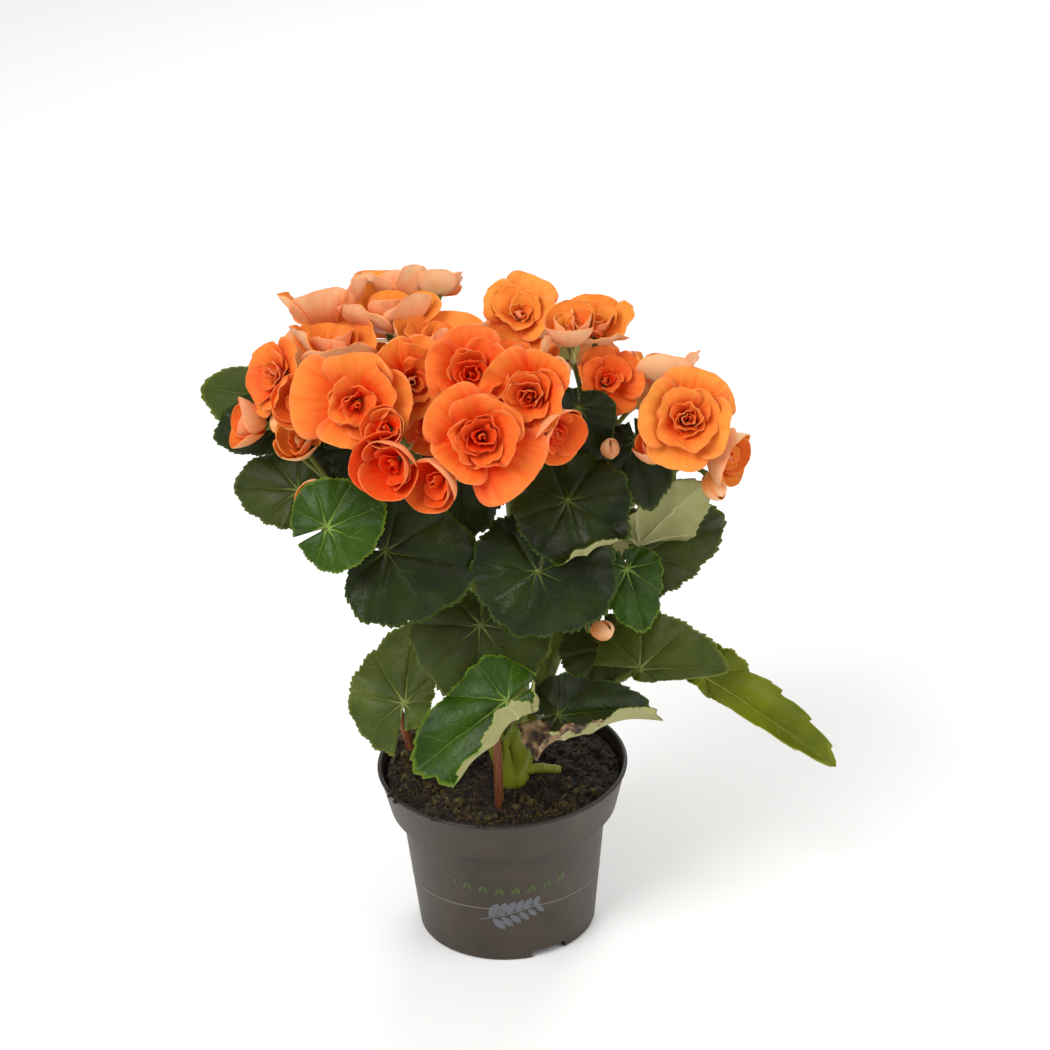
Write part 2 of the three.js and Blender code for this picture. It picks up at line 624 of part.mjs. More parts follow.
const PAINT = {
  pot: { color: 0x574c42, roughness: 0.45 },
  soil: { color: 0x1d1610, roughness: 1 },
  stake: { color: 0xa0562e, roughness: 0.6 },
  stem: { color: 0x8a9a4a, roughness: 0.5 },
  leaf: { color: 0x2f4a22, roughness: 0.35 },
  petal: { color: 0xf47a34, roughness: 0.6 },
};

const plant = new THREE.Group();

function addNode(name, solid, paint) {
  const material = new THREE.MeshStandardMaterial({ metalness: 0, ...PAINT[paint] });
  const mesh = new THREE.Mesh(geometryOf(solid), material);
  mesh.name = name;
  plant.add(mesh);
}

const stemCurve = ({ path }) => (
  new THREE.CatmullRomCurve3(path.map((place) => vector(...place))));

// A curve that leaves start along one direction and reaches end along another. pull is the
// length of its handles as a share of the way.
function sweepCurve(start, leave, end, arrive, pull) {
  const reach = pull * start.distanceTo(end);
  return new THREE.CubicBezierCurve3(
    start,
    start.clone().addScaledVector(leave, reach),
    end.clone().addScaledVector(arrive, -reach),
    end,
  );
}

// A stalk leaves its stem upwards and reaches its leaf or fork along the given direction.
function stalk([stem, part], end, arrive, radius) {
  const curve = stemCurve(STEMS[stem]);
  const start = curve.getPoint(part);
  const leave = end.clone().sub(start).setZ(0).normalize().multiplyScalar(0.8);
  leave.addScaledVector(curve.getTangent(part), 0.6);
  const steps = start.distanceTo(end) > 75 ? 3 : 2;
  return bar(sweepCurve(start, leave, end, arrive, 0.35), THREE_SIDED * radius, 3, steps);
}

// The flower stalk from a spray's fork to the base of a bloom.
function flowerStalk(fork, bloom, order, swell = 0) {
  const looks = direction(...bloom.face);
  const start = vector(...fork).addScaledVector(UP, -FORK_STEP * order);
  const curve = sweepCurve(start, UP, vector(...bloom.at), looks, 0.3);
  curve.v3.addScaledVector(looks, 0.5);
  return bar(curve, THREE_SIDED * FLOWER_STALK_RADIUS + swell, 3, 2);
}

// The nodes of the plant, by name, each with a swollen copy that keeps its neighbours clear.
const shoots = new Map();
for (const leaf of LEAVES) {
  const shoot = shoots.get(leaf.name) ?? { solids: [], swollen: [], paint: "leaf" };
  shoot.solids.push(leafSolid(leaf));
  shoot.swollen.push(leafSolid(leaf, GAP));
  shoots.set(leaf.name, shoot);
}
for (const spray of SPRAYS) {
  const parts = (petalSwell, stalkSwell) => spray.blooms.flatMap((bloom, order) => [
    bloomSolid(bloom, petalSwell),
    flowerStalk(spray.fork, bloom, order, stalkSwell),
  ]);
  shoots.set(spray.name, { solids: parts(0, 0), swollen: parts(GAP, 2 * GAP), paint: "petal" });
}

// Where two shoots would meet, the later one gives way by the gap.
const placed = [];
for (const [name, shoot] of shoots) {
  let whole = largestBody(union(shoot.solids));
  for (const other of placed) {
    if (whole.intersect(other.swollen).volume() > 0) {
      whole = largestBody(whole.subtract(other.swollen));
    }
  }
  placed.push({ name, whole, swollen: union([...shoot.swollen, whole]), paint: shoot.paint });
}

// The stems with the stalks of leaves and sprays, up to the gap before each of them.
const green = [
  cylinder(CROWN.radius, CROWN.top - CROWN.depth, CROWN.top, CROWN.x, CROWN.y, 10),
  ...STEMS.map((stem) => bar(stemCurve(stem), FOUR_SIDED * stem.radius, 4, 5)),
];
for (const leaf of LEAVES) {
  if (!leaf.stalk) continue;
  const { normal, tip } = leafFrame(leaf);
  const arrive = normal.multiplyScalar(0.6).addScaledVector(tip, 0.5).normalize();
  green.push(stalk(leaf.stalk, vector(...leaf.at), arrive, LEAF_STALK_RADIUS));
}
for (const spray of SPRAYS) {
  const end = vector(...spray.fork).addScaledVector(UP, -GAP);
  green.push(stalk(spray.stalk, end, UP, FLOWER_STALK_RADIUS));
}
const stems = placed.reduce((whole, shoot) => whole.subtract(shoot.swollen), union(green));

// Two round wooden stakes; the left one leans outwards.
function stakeSolid({ foot, top }, swell = 0) {
  const along = vector(...top).sub(vector(...foot));
  const length = along.length() + swell;
  const radius = STAKE_RADIUS + swell;
  const geometry = new THREE.CylinderGeometry(radius, radius, length, 12);
  geometry.translate(0, (length - 2 * swell) / 2, 0);
  const turn = new THREE.Quaternion().setFromUnitVectors(vector(0, 1, 0), along.normalize());
  geometry.applyQuaternion(turn);
  geometry.translate(...foot);
  return solidOf(geometry);
}

const holes = [
  cylinder(CROWN.radius + GAP, CROWN.top - CROWN.depth - GAP, CROWN.top + 25, CROWN.x, CROWN.y, 10),
  ...STAKES.map((stake) => stakeSolid(stake, GAP)),
];

addNode("pot", potSolid(), "pot");
addNode("soil", soilSolid(holes), "soil");
for (const stake of STAKES) addNode(stake.name, stakeSolid(stake), "stake");
addNode("stems", largestBody(stems), "stem");
for (const { name, whole, paint } of placed) addNode(name, whole, paint);

export default plant;
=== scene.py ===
# A potted begonia in flower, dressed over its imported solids: veined and toothed leaves, layered
# petals, buds, fleshy stems, peat with moss and crumbs, wooden stakes and a moulded nursery pot.
# Places are in millimetres, +Z up with the front at -Y, and each mesh is scaled to metres at
# its end.
import math
import random

import bmesh
import bpy
from mathutils import Matrix, Vector, noise


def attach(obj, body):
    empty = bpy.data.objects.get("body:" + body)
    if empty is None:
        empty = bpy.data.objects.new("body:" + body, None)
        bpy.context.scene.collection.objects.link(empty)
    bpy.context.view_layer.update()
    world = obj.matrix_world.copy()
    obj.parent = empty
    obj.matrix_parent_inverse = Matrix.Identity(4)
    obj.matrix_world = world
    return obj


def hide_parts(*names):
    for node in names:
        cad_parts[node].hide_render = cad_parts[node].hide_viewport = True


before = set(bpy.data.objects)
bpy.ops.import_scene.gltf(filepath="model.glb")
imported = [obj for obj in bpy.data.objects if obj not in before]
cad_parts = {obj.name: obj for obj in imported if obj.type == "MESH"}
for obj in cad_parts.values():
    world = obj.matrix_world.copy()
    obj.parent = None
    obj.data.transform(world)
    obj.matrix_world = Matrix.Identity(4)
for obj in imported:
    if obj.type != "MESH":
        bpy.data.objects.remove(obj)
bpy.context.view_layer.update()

MM = 0.001

# The pot and what fills it
POT_HEIGHT = 94
RIM_RADIUS = 65
BAND_FOOT = 70
BAND_FOOT_RADIUS = 59.2
BODY_TOP_RADIUS = 53.4
BASE_RADIUS = 46.1
WALL = 1.4
POT_FLOOR = 2
LIP = 1.2
FOOT_RING = 4
FLOOR_LIFT = 0.8
NOTCHES = (27.6, 147.6, 267.6)
NOTCH_SIZE = (19.5, 14, 8.6)
DRAIN_RADIUS = 4
# The print on the wall: where its line and marks lie, and how far the ink stands proud
PRINT_LINE = {"half": 78, "z": 34.2, "width": 0.5, "sag": 4.5}
PRINT_MARKS = {"count": 15, "left": -27, "pitch": 4.2, "z": 43.2}
SPRIG = {"leaves": 6, "left": -9, "pitch": 4.6, "z": 28, "rise": 1.2}
PROUD = 0.12
INK = 0.08

# The peat, the crown of the plant on it (x, y, radius), its heap (x, y, height, spread squared),
# and the crumbs over the rim (azimuth, spread, count)
SOIL_LEVEL = 88
SOIL_RADIUS = 60.6
SOIL_FOOT = 62
SOIL_COLUMNS = 220
SOIL_ROWS = 66
CROWN = (5, -12, 9)
HEAP = (-44, 26, 6, 420)
SPILLS = ((-61, 2.4, 22), (-35, 2.6, 24), (-12, 4, 6))
# What lies on it: how many, sizes, how finely each lump is divided and how rough it is
CRUMBS = {"count": 1100, "size": (0.6, 2.1), "finer": 1, "rough": 0.25}
BITS = {"count": 260, "in_moss": 40, "size": (0.4, 1.3), "finer": 1, "rough": 0.25}
CLODS = {"in_bed": 7, "size": (2.2, 4.6), "finer": 3, "rough": 1.1}
FIBRES = {"count": 130, "length": (2, 7), "radius": (0.1, 0.3)}
MOSS = {"in_bed": 90, "length": (0.6, 1.9), "radii": (0.26, 0.3, 0.12)}
STAKES = {
    "stake_front": ((-2, -35, 22), (-2, -35, 158)),
    "stake_left": ((-37, 12, 50), (-60, 12, 150)),
}
STAKE_RADIUS = 2.3
# Where moss and clods lie on the peat: x, y and spread
MOSS_BEDS = ((-22, -36, 9), (-6, -48, 7), (12, -44, 7), (-36, -20, 9), (-46, 4, 7), (30, -40, 5),
             (-30, -6, 8), (14, -30, 5))
CLOD_BEDS = ((-48, 14, 6), (-44, -12, 8), (-30, -34, 8), (-8, -46, 8), (14, -40, 6), (40, -30, 8),
             (-52, 28, 5), (20, -8, 4))

# The blades of the leaves: half the sweep of the margin, its teeth and broad lobes to a side with
# the share of the reach that each cuts away, and the angle between two main veins
SINUS = math.radians(174)
TEETH = 30
TOOTH_CUT = 0.06
LOBES = 7
LOBE_CUT = 0.075
VEIN_ANGLE = SINUS / 4
LEAF_COLUMNS = 8 * TEETH
LEAF_ROWS = 13
LEAF_THICKNESS = 0.6
# Their relief: shares of the reach first, then heights and widths in millimetres
CUP = 0.25
KEEL = 0.12
SWAY = 0.07
PUFF = 0.07
CREASE = {"depth": 0.3, "width": 1.1}
RUMPLE = {"height": 1.8, "width": 13}
FRILL = {"height": 0.8, "waves": 17}
# Where the low leaf on the right has dried: x, y and radius across its flat outline
DRIED = {"name": "leaf_front_low_right",
         "patches": ((10, -15, 11), (22, -9, 9), (24, 9, 6), (23, 23, 4))}

# The long leaf on the far right, notched between lobes: their pitch and the share cut away
LOBED = {"name": "leaf_far_right", "pitch": 23, "share": 0.15}

# Petals: how blunt the tip is, the turn from one petal of a heart to the next, and how the draw
# of a bloom's redness weighs its place
BLUNT = 3
GOLDEN_ANGLE = 137.5
PETAL_THICKNESS = 0.4
HUE_DRAW = (8, 32, 32)
# How red and how pale blooms and buds are, then the blooms of the sprays that differ
BLOOM_HUES = (0.35, 0.3)
BUD_HUES = (0.1, 0.35)
HUES = {
    "spray_middle": (0.6, 0.1), "spray_front_low": (0.6, 0.15), "spray_left_outer": (0.3, 0.5),
    "spray_left_low": (0.1, 0.8), "spray_left_high": (0.15, 0.7), "spray_top_left": (0.1, 0.75),
    "spray_back_left": (0.05, 0.95), "spray_top_middle": (0.05, 0.8),
    "spray_right_top": (0.15, 0.7),
    "spray_right_front": (0.2, 0.45), "spray_right_back": (0.05, 0.8),
}

# The main stems: radius, then the points they rise through
STEMS = [
    (4.5, [(3, -13, 91), (-6, -12, 125), (-24, -8, 185), (-38, -4, 245), (-48, -5, 290)]),
    (4.5, [(7, -10, 91), (10, -8, 130), (12, -2, 190), (10, 2, 250), (6, 2, 300)]),
    (4, [(9, -12, 91), (20, 8, 125), (41, 25, 175), (63, 24, 225), (78, 15, 262)]),
    (4, [(3, -8, 91), (-2, 14, 130), (-12, 34, 190), (-16, 44, 245), (-18, 50, 290)]),
    (3.6, [(8, -8, 91), (20, 12, 130), (34, 28, 185), (42, 38, 240), (44, 40, 285)]),
    (3.4, [(2, -14, 91), (-4, -15, 118), (-14, -15, 165), (-25, -20, 210), (-34, -26, 250)]),
    (2.6, [(6, -12, 93), (18, -11, 95), (30, -10, 93)]),
]

# Leaves, the front ones first: at = where the stalk meets the blade, face = azimuth and lift of the
# upper face, size = reach of the tip and of the two sides, stalk = its stem and how far up it
# leaves.
LEAVES = [
    dict(name="leaf_front_left", at=(-79, -74, 274), face=(-10, 32), turn=115, size=(30, 27, 26),
         lobe=0.75, stalk=(5, 0.9), look="fresh"),
    dict(name="leaf_front_middle", at=(-52, -58, 251), face=(-2, 28), turn=78, size=(48, 36, 42),
         lobe=0.4, stalk=(5, 0.8)),
    dict(name="leaf_behind_right", at=(37, -50, 271), face=(0, 46), turn=15, size=(36, 36, 32),
         folds=[(25, 20, 5, 115)], stalk=(1, 0.7)),
    dict(name="leaf_front_right", at=(21, -61, 238), face=(2, 28), turn=-20, size=(34, 46, 38),
         lobe=0.95, stalk=(1, 0.6)),
    dict(name="leaf_front_low", at=(4, -72, 172), face=(-8, 46), turn=-52, size=(58, 30, 28),
         folds=[(38, 9, 4, 120), (98, 12, 4, 115)], stalk=(5, 0.14), look="fresh"),
    dict(name="leaf_front_low_right", at=(30, -58, 155), face=(8, 46), turn=90, size=(49, 23, 31),
         folds=[(18, 10, 4.5, 120)], stalk=(2, 0.2)),
    dict(name="leaf_middle_grey", at=(-8, -43, 199), face=(-4, 26), turn=-5, size=(44, 42, 42),
         lobe=0.45, stalk=(5, 0.62), look="dull"),
    dict(name="leaf_left_low", at=(-48, -36, 152), face=(-24, 34), turn=-174, size=(43, 35, 18),
         lobe=0.9, stalk=(0, 0.25), look="olive"),
    dict(name="leaf_right_inner", at=(55, -2, 160), face=(-5, 35), turn=10, size=(20, 26, 28),
         stalk=(2, 0.42), look="dull"),
    dict(name="leaf_right_low", at=(72, -24, 160), face=(-8, 42), turn=94, size=(45, 34, 8),
         stalk=(2, 0.1), look="olive"),
    dict(name="leaf_far_right", at=(105, -2, 142), face=(6, 36), turn=52, size=(84, 21, 9),
         lobe=1.3, stalk=(2, 0.28), look="lime"),
    dict(name="leaf_right_bright", at=(66, -32, 222), face=(18, 32), turn=6, size=(33, 20, 20),
         lobe=0.6, stalk=(2, 0.6), look="fresh"),
    dict(name="leaf_right_curled", at=(74, -12, 220), face=(8, 42), turn=112, size=(50, 25, 28),
         stalk=(2, 0.66), look="dull"),
    dict(name="leaf_right_curled", at=(73, -9, 223), face=(192, 12), turn=214, size=(54, 24, 24),
         lobe=0.1, look="dull"),
    dict(name="leaf_left_third", at=(-96, -20, 266), face=(-12, 36), turn=-92, size=(35, 23, 27),
         stalk=(0, 0.62), look="dull"),
    dict(name="leaf_left_top", at=(-104, 10, 303), face=(-14, 34), turn=-93, size=(44, 26, 18),
         stalk=(0, 0.8), look="olive"),
    dict(name="leaf_left_second", at=(-106, -8, 295), face=(-10, 34), turn=-80, size=(33, 15, 26),
         stalk=(0, 0.72)),
    dict(name="leaf_left_dark", at=(-76, -16, 288), face=(0, 22), turn=-4, size=(30, 15, 16),
         lobe=0.5, stalk=(0, 0.78)),
    dict(name="leaf_inner_dark", at=(-65, -20, 290), face=(0, 15), turn=5, size=(28, 15, 19),
         stalk=(0, 0.88)),
    dict(name="leaf_inner_middle", at=(-16, -26, 280), face=(0, 22), turn=0, size=(40, 30, 26),
         lobe=0.6, stalk=(1, 0.75)),
    dict(name="leaf_high_middle", at=(44, -20, 306), face=(6, 20), turn=-6, size=(46, 21, 24),
         lobe=0.5, stalk=(1, 0.85)),
    dict(name="leaf_high_right", at=(72, -18, 286), face=(10, 24), turn=8, size=(36, 22, 20),
         lobe=0.6, stalk=(2, 0.8)),
    dict(name="leaf_back_left", at=(-56, 60, 254), face=(-142, 32), turn=0, size=(46, 36, 36),
         stalk=(3, 0.66)),
    dict(name="leaf_back_middle", at=(4, 70, 246), face=(180, 30), turn=5, size=(48, 34, 34),
         stalk=(3, 0.7)),
    dict(name="leaf_back_right", at=(58, 56, 244), face=(145, 32), turn=0, size=(46, 36, 36),
         stalk=(4, 0.7)),
    dict(name="leaf_back_low", at=(22, 52, 190), face=(170, 35), turn=10, size=(42, 34, 34),
         stalk=(4, 0.42)),
    dict(name="leaf_back_low_left", at=(-30, 60, 176), face=(-160, 35), turn=-10, size=(40, 34, 34),
         stalk=(3, 0.42)),
]

# Sprays: the fork where the flower stalks part, the stem and how far up it leaves, then each bloom:
# form, base of the petals, azimuth and lift of its face, width, roll, and lengths of the guard
# petals.
SPRAYS = {
    "spray_left_front": ((-45, -26, 297), (0, 0.9), [
        ("full", (-62, -48, 328), (-8, 25), 51, -85, (1.15, 1, 1, 0.9)),
        ("full", (-38, -32, 330), (0, 30), 42, 45),
    ]),
    "spray_front_low": ((-36, -40, 282), (5, 1), [
        ("cup", (-43, -68, 307), (-20, 10), 35, 0),
        ("cup", (-21, -72, 301), (-30, 0), 31, 40),
        ("cup", (-47, -66, 321), (-15, 30), 22, 20),
        ("plain", (-28, -38, 312), (6, 15), 28, 10),
    ]),
    "spray_middle": ((-3, -36, 288), (1, 0.85), [
        ("full", (-5, -67, 316), (2, 25), 53, 135, (1.05, 0.9, 1, 0.9)),
        ("full", (-7, -40, 336), (-5, 35), 43, 0),
    ]),
    "spray_middle_right": ((20, -30, 290), (1, 0.9), [
        ("full", (22, -53, 331), (-18, 25), 43, 30),
        ("cup", (26, -58, 318), (35, -5), 29, 0),
        ("goblet", (12, -16, 321), (175, 72), 46, 10),
    ]),
    "spray_left_outer": ((-86, -6, 290), (0, 0.85), [
        ("plain", (-98, -15, 325), (-60, 25), 35, 30),
        ("cup", (-85, -24, 315), (-30, 30), 32, 0),
        ("cup", (-109, -14, 299), (-80, 15), 28, 0),
    ]),
    "spray_left_low": ((-78, -30, 268), (0, 0.75), [
        ("cup", (-91, -28, 293), (-20, 50), 28, 0),
        ("bud", (-86, -50, 267), (-10, 70), 19, 0),
        ("bud", (-103, -20, 300), (0, 80), 10, 0),
    ]),
    "spray_left_high": ((-70, 8, 304), (0, 0.95), [
        ("goblet", (-74, -9, 327), (-170, 82), 48, 0),
        ("goblet", (-78, 19, 335), (-165, 60), 46, 16),
        ("cup", (-91, 33, 308), (-116, 36), 30, 0),
    ]),
    "spray_top_left": ((-38, 0, 305), (0, 1), [
        ("goblet", (-48, 14, 334), (175, 78), 46, 40),
        ("goblet", (-24, -6, 328), (170, 84), 46, 15),
        ("goblet", (-49, -10, 318), (10, 74), 32, 45),
    ]),
    "spray_back_left": ((-34, 46, 305), (3, 1), [
        ("goblet", (-45, 42, 337), (180, 62), 38, 45),
        ("goblet", (-24, 46, 338), (175, 55), 26, 0, (1.1, 0.8, 1, 1)),
        ("plain", (-42, 72, 304), (-160, 40), 48, 0),
    ]),
    "spray_top_middle": ((4, 22, 302), (1, 1), [
        ("plain", (-9, 8, 322), (-10, 60), 27, 0),
        ("plain", (16, 24, 335), (0, 50), 38, 30),
        ("plain", (-6, 50, 300), (175, 55), 42, 0),
    ]),
    "spray_right_top": ((46, 4, 298), (4, 0.95), [
        ("cup", (41, 0, 331), (-10, 80), 30, 0),
        ("goblet", (54, 12, 329), (30, 78), 34, 20),
        ("bud", (34, -14, 318), (0, 70), 17, 0),
    ]),
    "spray_right_inner": ((64, -4, 276), (2, 0.9), [
        ("plain", (57, 2, 308), (20, 42), 33, 0),
        ("cup", (80, -30, 281), (-10, 75), 22, 0),
        ("bud", (59, -28, 284), (0, 70), 11, 0),
    ]),
    "spray_right_front": ((90, -16, 266), (2, 0.95), [
        ("full", (95, -30, 302), (5, 30), 48, 20),
        ("cup", (106, -24, 284.5), (58, -8), 32, 6),
        ("bud", (106.4, -26.6, 271), (40, -38), 15, 8),
    ]),
    "spray_right_back": ((84, 10, 274), (2, 1), [
        ("goblet", (88, 6, 305), (175, 62), 35, 0),
        ("plain", (101, -4, 296), (38, 45), 32, 0),
        ("cup", (98, 22, 272), (100, 20), 34, 0),
    ]),
    "spray_back_far_left": ((-56, 40, 280), (3, 0.86), [
        ("plain", (-72, 52, 304), (-125, 40), 42, 0),
    ]),
    "spray_back_middle": ((18, 44, 264), (4, 0.72), [
        ("plain", (2, 84, 272), (180, 42), 48, 0),
        ("plain", (40, 66, 288), (150, 40), 46, 30),
    ]),
    "spray_back_right": ((60, 28, 262), (4, 0.76), [
        ("plain", (72, 44, 274), (120, 38), 46, 0),
    ]),
    "bud_low": ((46, -26, 190), (2, 0.5), [
        ("bud", (49, -38, 192), (40, 20), 14, 0),
    ]),
}

# Shapes


def colour(code):
    """An sRGB hex colour as linear red, green, blue and alpha."""
    def linear(part):
        value = int(part, 16) / 255
        return value / 12.92 if value <= 0.04045 else ((value + 0.055) / 1.055) ** 2.4
    return [linear(code[i:i + 2]) for i in (1, 3, 5)] + [1.0]


def draw(seed):
    """A small seeded draw between -1 and 1."""
    value = math.sin(seed * 127.1 + 311.7) * 43758.5453
    return 2 * (value - math.floor(value)) - 1


def direction(azimuth, lift):
    """An azimuth of 0 faces the front (-Y), 90 the right (+X); lift is above the horizontal."""
    a = math.radians(azimuth)
    e = math.radians(lift)
    return Vector((math.sin(a) * math.cos(e), -math.cos(a) * math.cos(e), math.sin(e)))


def start_mesh():
    """An empty mesh with a map across each surface and a tone for each corner."""
    made = bmesh.new()
    made.loops.layers.uv.new("across")
    made.verts.layers.float_color.new("tone")
    return made


def sheet(mesh, columns, rows, place, mark=None, tone=None):
    """A grid whose corners go to place(u, v), mapped by mark(u, v), with poles and seam welded."""
    verts = bmesh.ops.create_grid(mesh, x_segments=columns, y_segments=rows, size=0.5)["verts"]
    across = mesh.loops.layers.uv["across"]
    tones = mesh.verts.layers.float_color["tone"]
    marks = {}
    for vert in verts:
        u = vert.co.x + 0.5
        v = vert.co.y + 0.5
        marks[vert] = mark(u, v) if mark else (u, v)
        vert[tones] = tone(u, v) if tone else (0, 0, 0, 1)
        vert.co = place(u, v)
    for face in {face for vert in verts for face in vert.link_faces}:
        face.smooth = True
        for loop in face.loops:
            loop[across].uv = marks[loop.vert]
    bmesh.ops.remove_doubles(mesh, verts=verts, dist=1e-4)


def tube(mesh, centres, radii, sides):
    """A round bar through the centres, closed at both ends."""
    last = len(centres) - 1
    side = (centres[1] - centres[0]).orthogonal().normalized()
    rings = []
    for k, centre in enumerate(centres):
        along = (centres[min(k + 1, last)] - centres[max(k - 1, 0)]).normalized()
        side = (side - along * side.dot(along)).normalized()
        rings.append((centre, radii[k], side, along.cross(side)))
    rings = [(*rings[0][:1], 0, *rings[0][2:]), *rings, (*rings[-1][:1], 0, *rings[-1][2:])]

    def place(u, v):
        centre, radius, right, up = rings[round(v * (last + 2))]
        angle = 2 * math.pi * u
        return centre + radius * (math.cos(angle) * right + math.sin(angle) * up)

    sheet(mesh, sides, last + 2, place)


def smooth_path(places, part):
    """A point on the smooth curve through the places, from 0 at the first to 1 at the last."""
    spans = len(places) - 1
    k = min(int(part * spans), spans - 1)
    t = part * spans - k
    b, c = Vector(places[k]), Vector(places[k + 1])
    a = Vector(places[k - 1]) if k else 2 * b - c
    d = Vector(places[k + 2]) if k + 2 <= spans else 2 * c - b
    return 0.5 * (2 * b + (c - a) * t + (2 * a - 5 * b + 4 * c - d) * t * t
                  + (3 * b - a - 3 * c + d) * t * t * t)


def bend(start, leave, arrive, end, steps):
    """Points on the curve that leaves start by one handle and comes to end by the other."""
    found = []
    for i in range(steps + 1):
        t = i / steps
        found.append((1 - t) ** 3 * start + 3 * (1 - t) ** 2 * t * leave
                     + 3 * (1 - t) * t * t * arrive + t ** 3 * end)
    return found


def piece(name, mesh, materials, nodes=(), thickness=0, sharp=None):
    """The finished piece in metres, riding on the plant and standing for its nodes."""
    bmesh.ops.transform(mesh, matrix=Matrix.Scale(MM, 4), verts=mesh.verts)
    data = bpy.data.meshes.new(name)
    mesh.to_mesh(data)
    mesh.free()
    for material in materials:
        data.materials.append(material)
    if sharp:
        data.set_sharp_from_angle(angle=math.radians(sharp))
    made = bpy.data.objects.new(name, data)
    bpy.context.scene.collection.objects.link(made)
    if thickness:
        wall = made.modifiers.new("Thickness", "SOLIDIFY")
        wall.thickness = thickness * MM
        wall.offset = -1
        wall.material_offset = 1
        wall.material_offset_rim = 0
    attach(made, "root")
    if nodes:
        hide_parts(*nodes)
    return made


# Materials


def feed(node, inputs):
    """Sets a node's inputs, or links them to another node's first output or to a socket."""
    for name, value in inputs.items():
        if isinstance(value, bpy.types.Node):
            value = value.outputs[0]
        if isinstance(value, bpy.types.NodeSocket):
            node.id_data.links.new(value, node.inputs[name])
        elif isinstance(value, str):
            node.inputs[name].default_value = colour(value)
        else:
            node.inputs[name].default_value = value


def add(tree, kind, inputs=(), stops=(), **settings):
    """Adds a shader node with its settings, its colour stops and its inputs."""
    made = tree.nodes.new("ShaderNode" + kind)
    for name, value in settings.items():
        setattr(made, name, value)
    for i, (position, code) in enumerate(stops):
        ramp = made.color_ramp.elements
        stop = ramp[i] if i < 2 else ramp.new(position)
        stop.position = position
        stop.color = colour(code)
    feed(made, dict(inputs))
    return made


def surface(name, **finish):
    """A material, its node tree and its shader, with the finish set on the shader's sockets."""
    made = bpy.data.materials.new(name)
    made.use_nodes = True
    shader = made.node_tree.nodes["Principled BSDF"]
    feed(shader, {socket.replace("_", " "): value for socket, value in finish.items()})
    return made, made.node_tree, shader


def leaf_upper(name, deep, fresh, edge, vein, gloss, marked):
    """Living begonia leaf, upper face: waxy, with soft patches of sheen between sunken veins.
    deep and fresh mottle the blade, edge is its thin margin, marked how clear the veins are."""
    made, tree, shader = surface(name, IOR=1.42, Specular_IOR_Level=0.28, Subsurface_Weight=0.03,
                                 Subsurface_Radius=(0.0006, 0.001, 0.0003))
    lines, net, part = vein_masks(tree)
    place = add(tree, "TexCoord").outputs["Object"]
    patches = add(tree, "TexNoise", {"Vector": place, "Scale": 1 / (24 * MM), "Detail": 3.0})
    speckle = add(tree, "TexNoise", {"Vector": place, "Scale": 1 / (1.6 * MM), "Detail": 2.0})
    swell = add(tree, "TexNoise", {"Vector": place, "Scale": 1 / (7 * MM), "Detail": 2.0})
    spread = add(tree, "MapRange", {"Value": patches, "From Min": 0.4, "From Max": 0.66})
    blade = add(tree, "MixRGB", {"Fac": spread, "Color1": deep, "Color2": fresh})
    grain = add(tree, "Math", {0: speckle, 1: 0.35}, operation="MULTIPLY")
    grained = add(tree, "MixRGB", {"Fac": grain, "Color1": blade, "Color2": fresh})
    rim = add(tree, "MapRange", {"Value": part, "From Min": 0.93, "From Max": 1.0, "To Max": 0.8})
    rimmed = add(tree, "MixRGB", {"Fac": rim, "Color1": grained, "Color2": edge})
    near = add(tree, "MapRange", {"Value": part, "From Min": 0.06, "From Max": 0.35,
                                  "To Min": 0.95, "To Max": marked})
    shown = add(tree, "Math", {0: lines, 1: near}, operation="MULTIPLY")
    veined = add(tree, "MixRGB", {"Fac": shown, "Color1": rimmed, "Color2": vein})
    shine = add(tree, "MapRange", {"Value": patches, "From Min": 0.3, "From Max": 0.7,
                                   "To Min": gloss + 0.12, "To Max": gloss - 0.05})
    height = add(tree, "Math", {0: lines, 1: -0.6, 2: net}, operation="MULTIPLY_ADD")
    wavy = add(tree, "Math", {0: swell, 1: 1.6, 2: height}, operation="MULTIPLY_ADD")
    relief = add(tree, "Bump", {"Height": wavy, "Strength": 0.6, "Distance": 0.6 * MM})
    feed(shader, {"Base Color": veined, "Roughness": shine, "Normal": relief})
    return made


def leaf_under(name, blade, vein, blotch):
    """Leaf underside: matt and pale, with raised veins and faint brown blotches."""
    made, tree, shader = surface(name, Roughness=0.6, Specular_IOR_Level=0.3,
                                 Subsurface_Weight=0.04,
                                 Subsurface_Radius=(0.001, 0.001, 0.0004))
    lines, net, _ = vein_masks(tree)
    place = add(tree, "TexCoord").outputs["Object"]
    patches = add(tree, "TexNoise", {"Vector": place, "Scale": 1 / (14 * MM), "Detail": 4.0})
    spread = add(tree, "MapRange", {"Value": patches, "From Min": 0.45, "From Max": 0.75,
                                    "To Max": 0.6})
    mottled = add(tree, "MixRGB", {"Fac": spread, "Color1": blade, "Color2": blotch})
    shown = add(tree, "Math", {0: lines, 1: 0.8}, operation="MULTIPLY")
    veined = add(tree, "MixRGB", {"Fac": shown, "Color1": mottled, "Color2": vein})
    height = add(tree, "Math", {0: lines, 1: 1.2, 2: net}, operation="MULTIPLY_ADD")
    relief = add(tree, "Bump", {"Height": height, "Strength": 0.5, "Distance": 0.4 * MM})
    feed(shader, {"Base Color": veined, "Normal": relief})
    return made


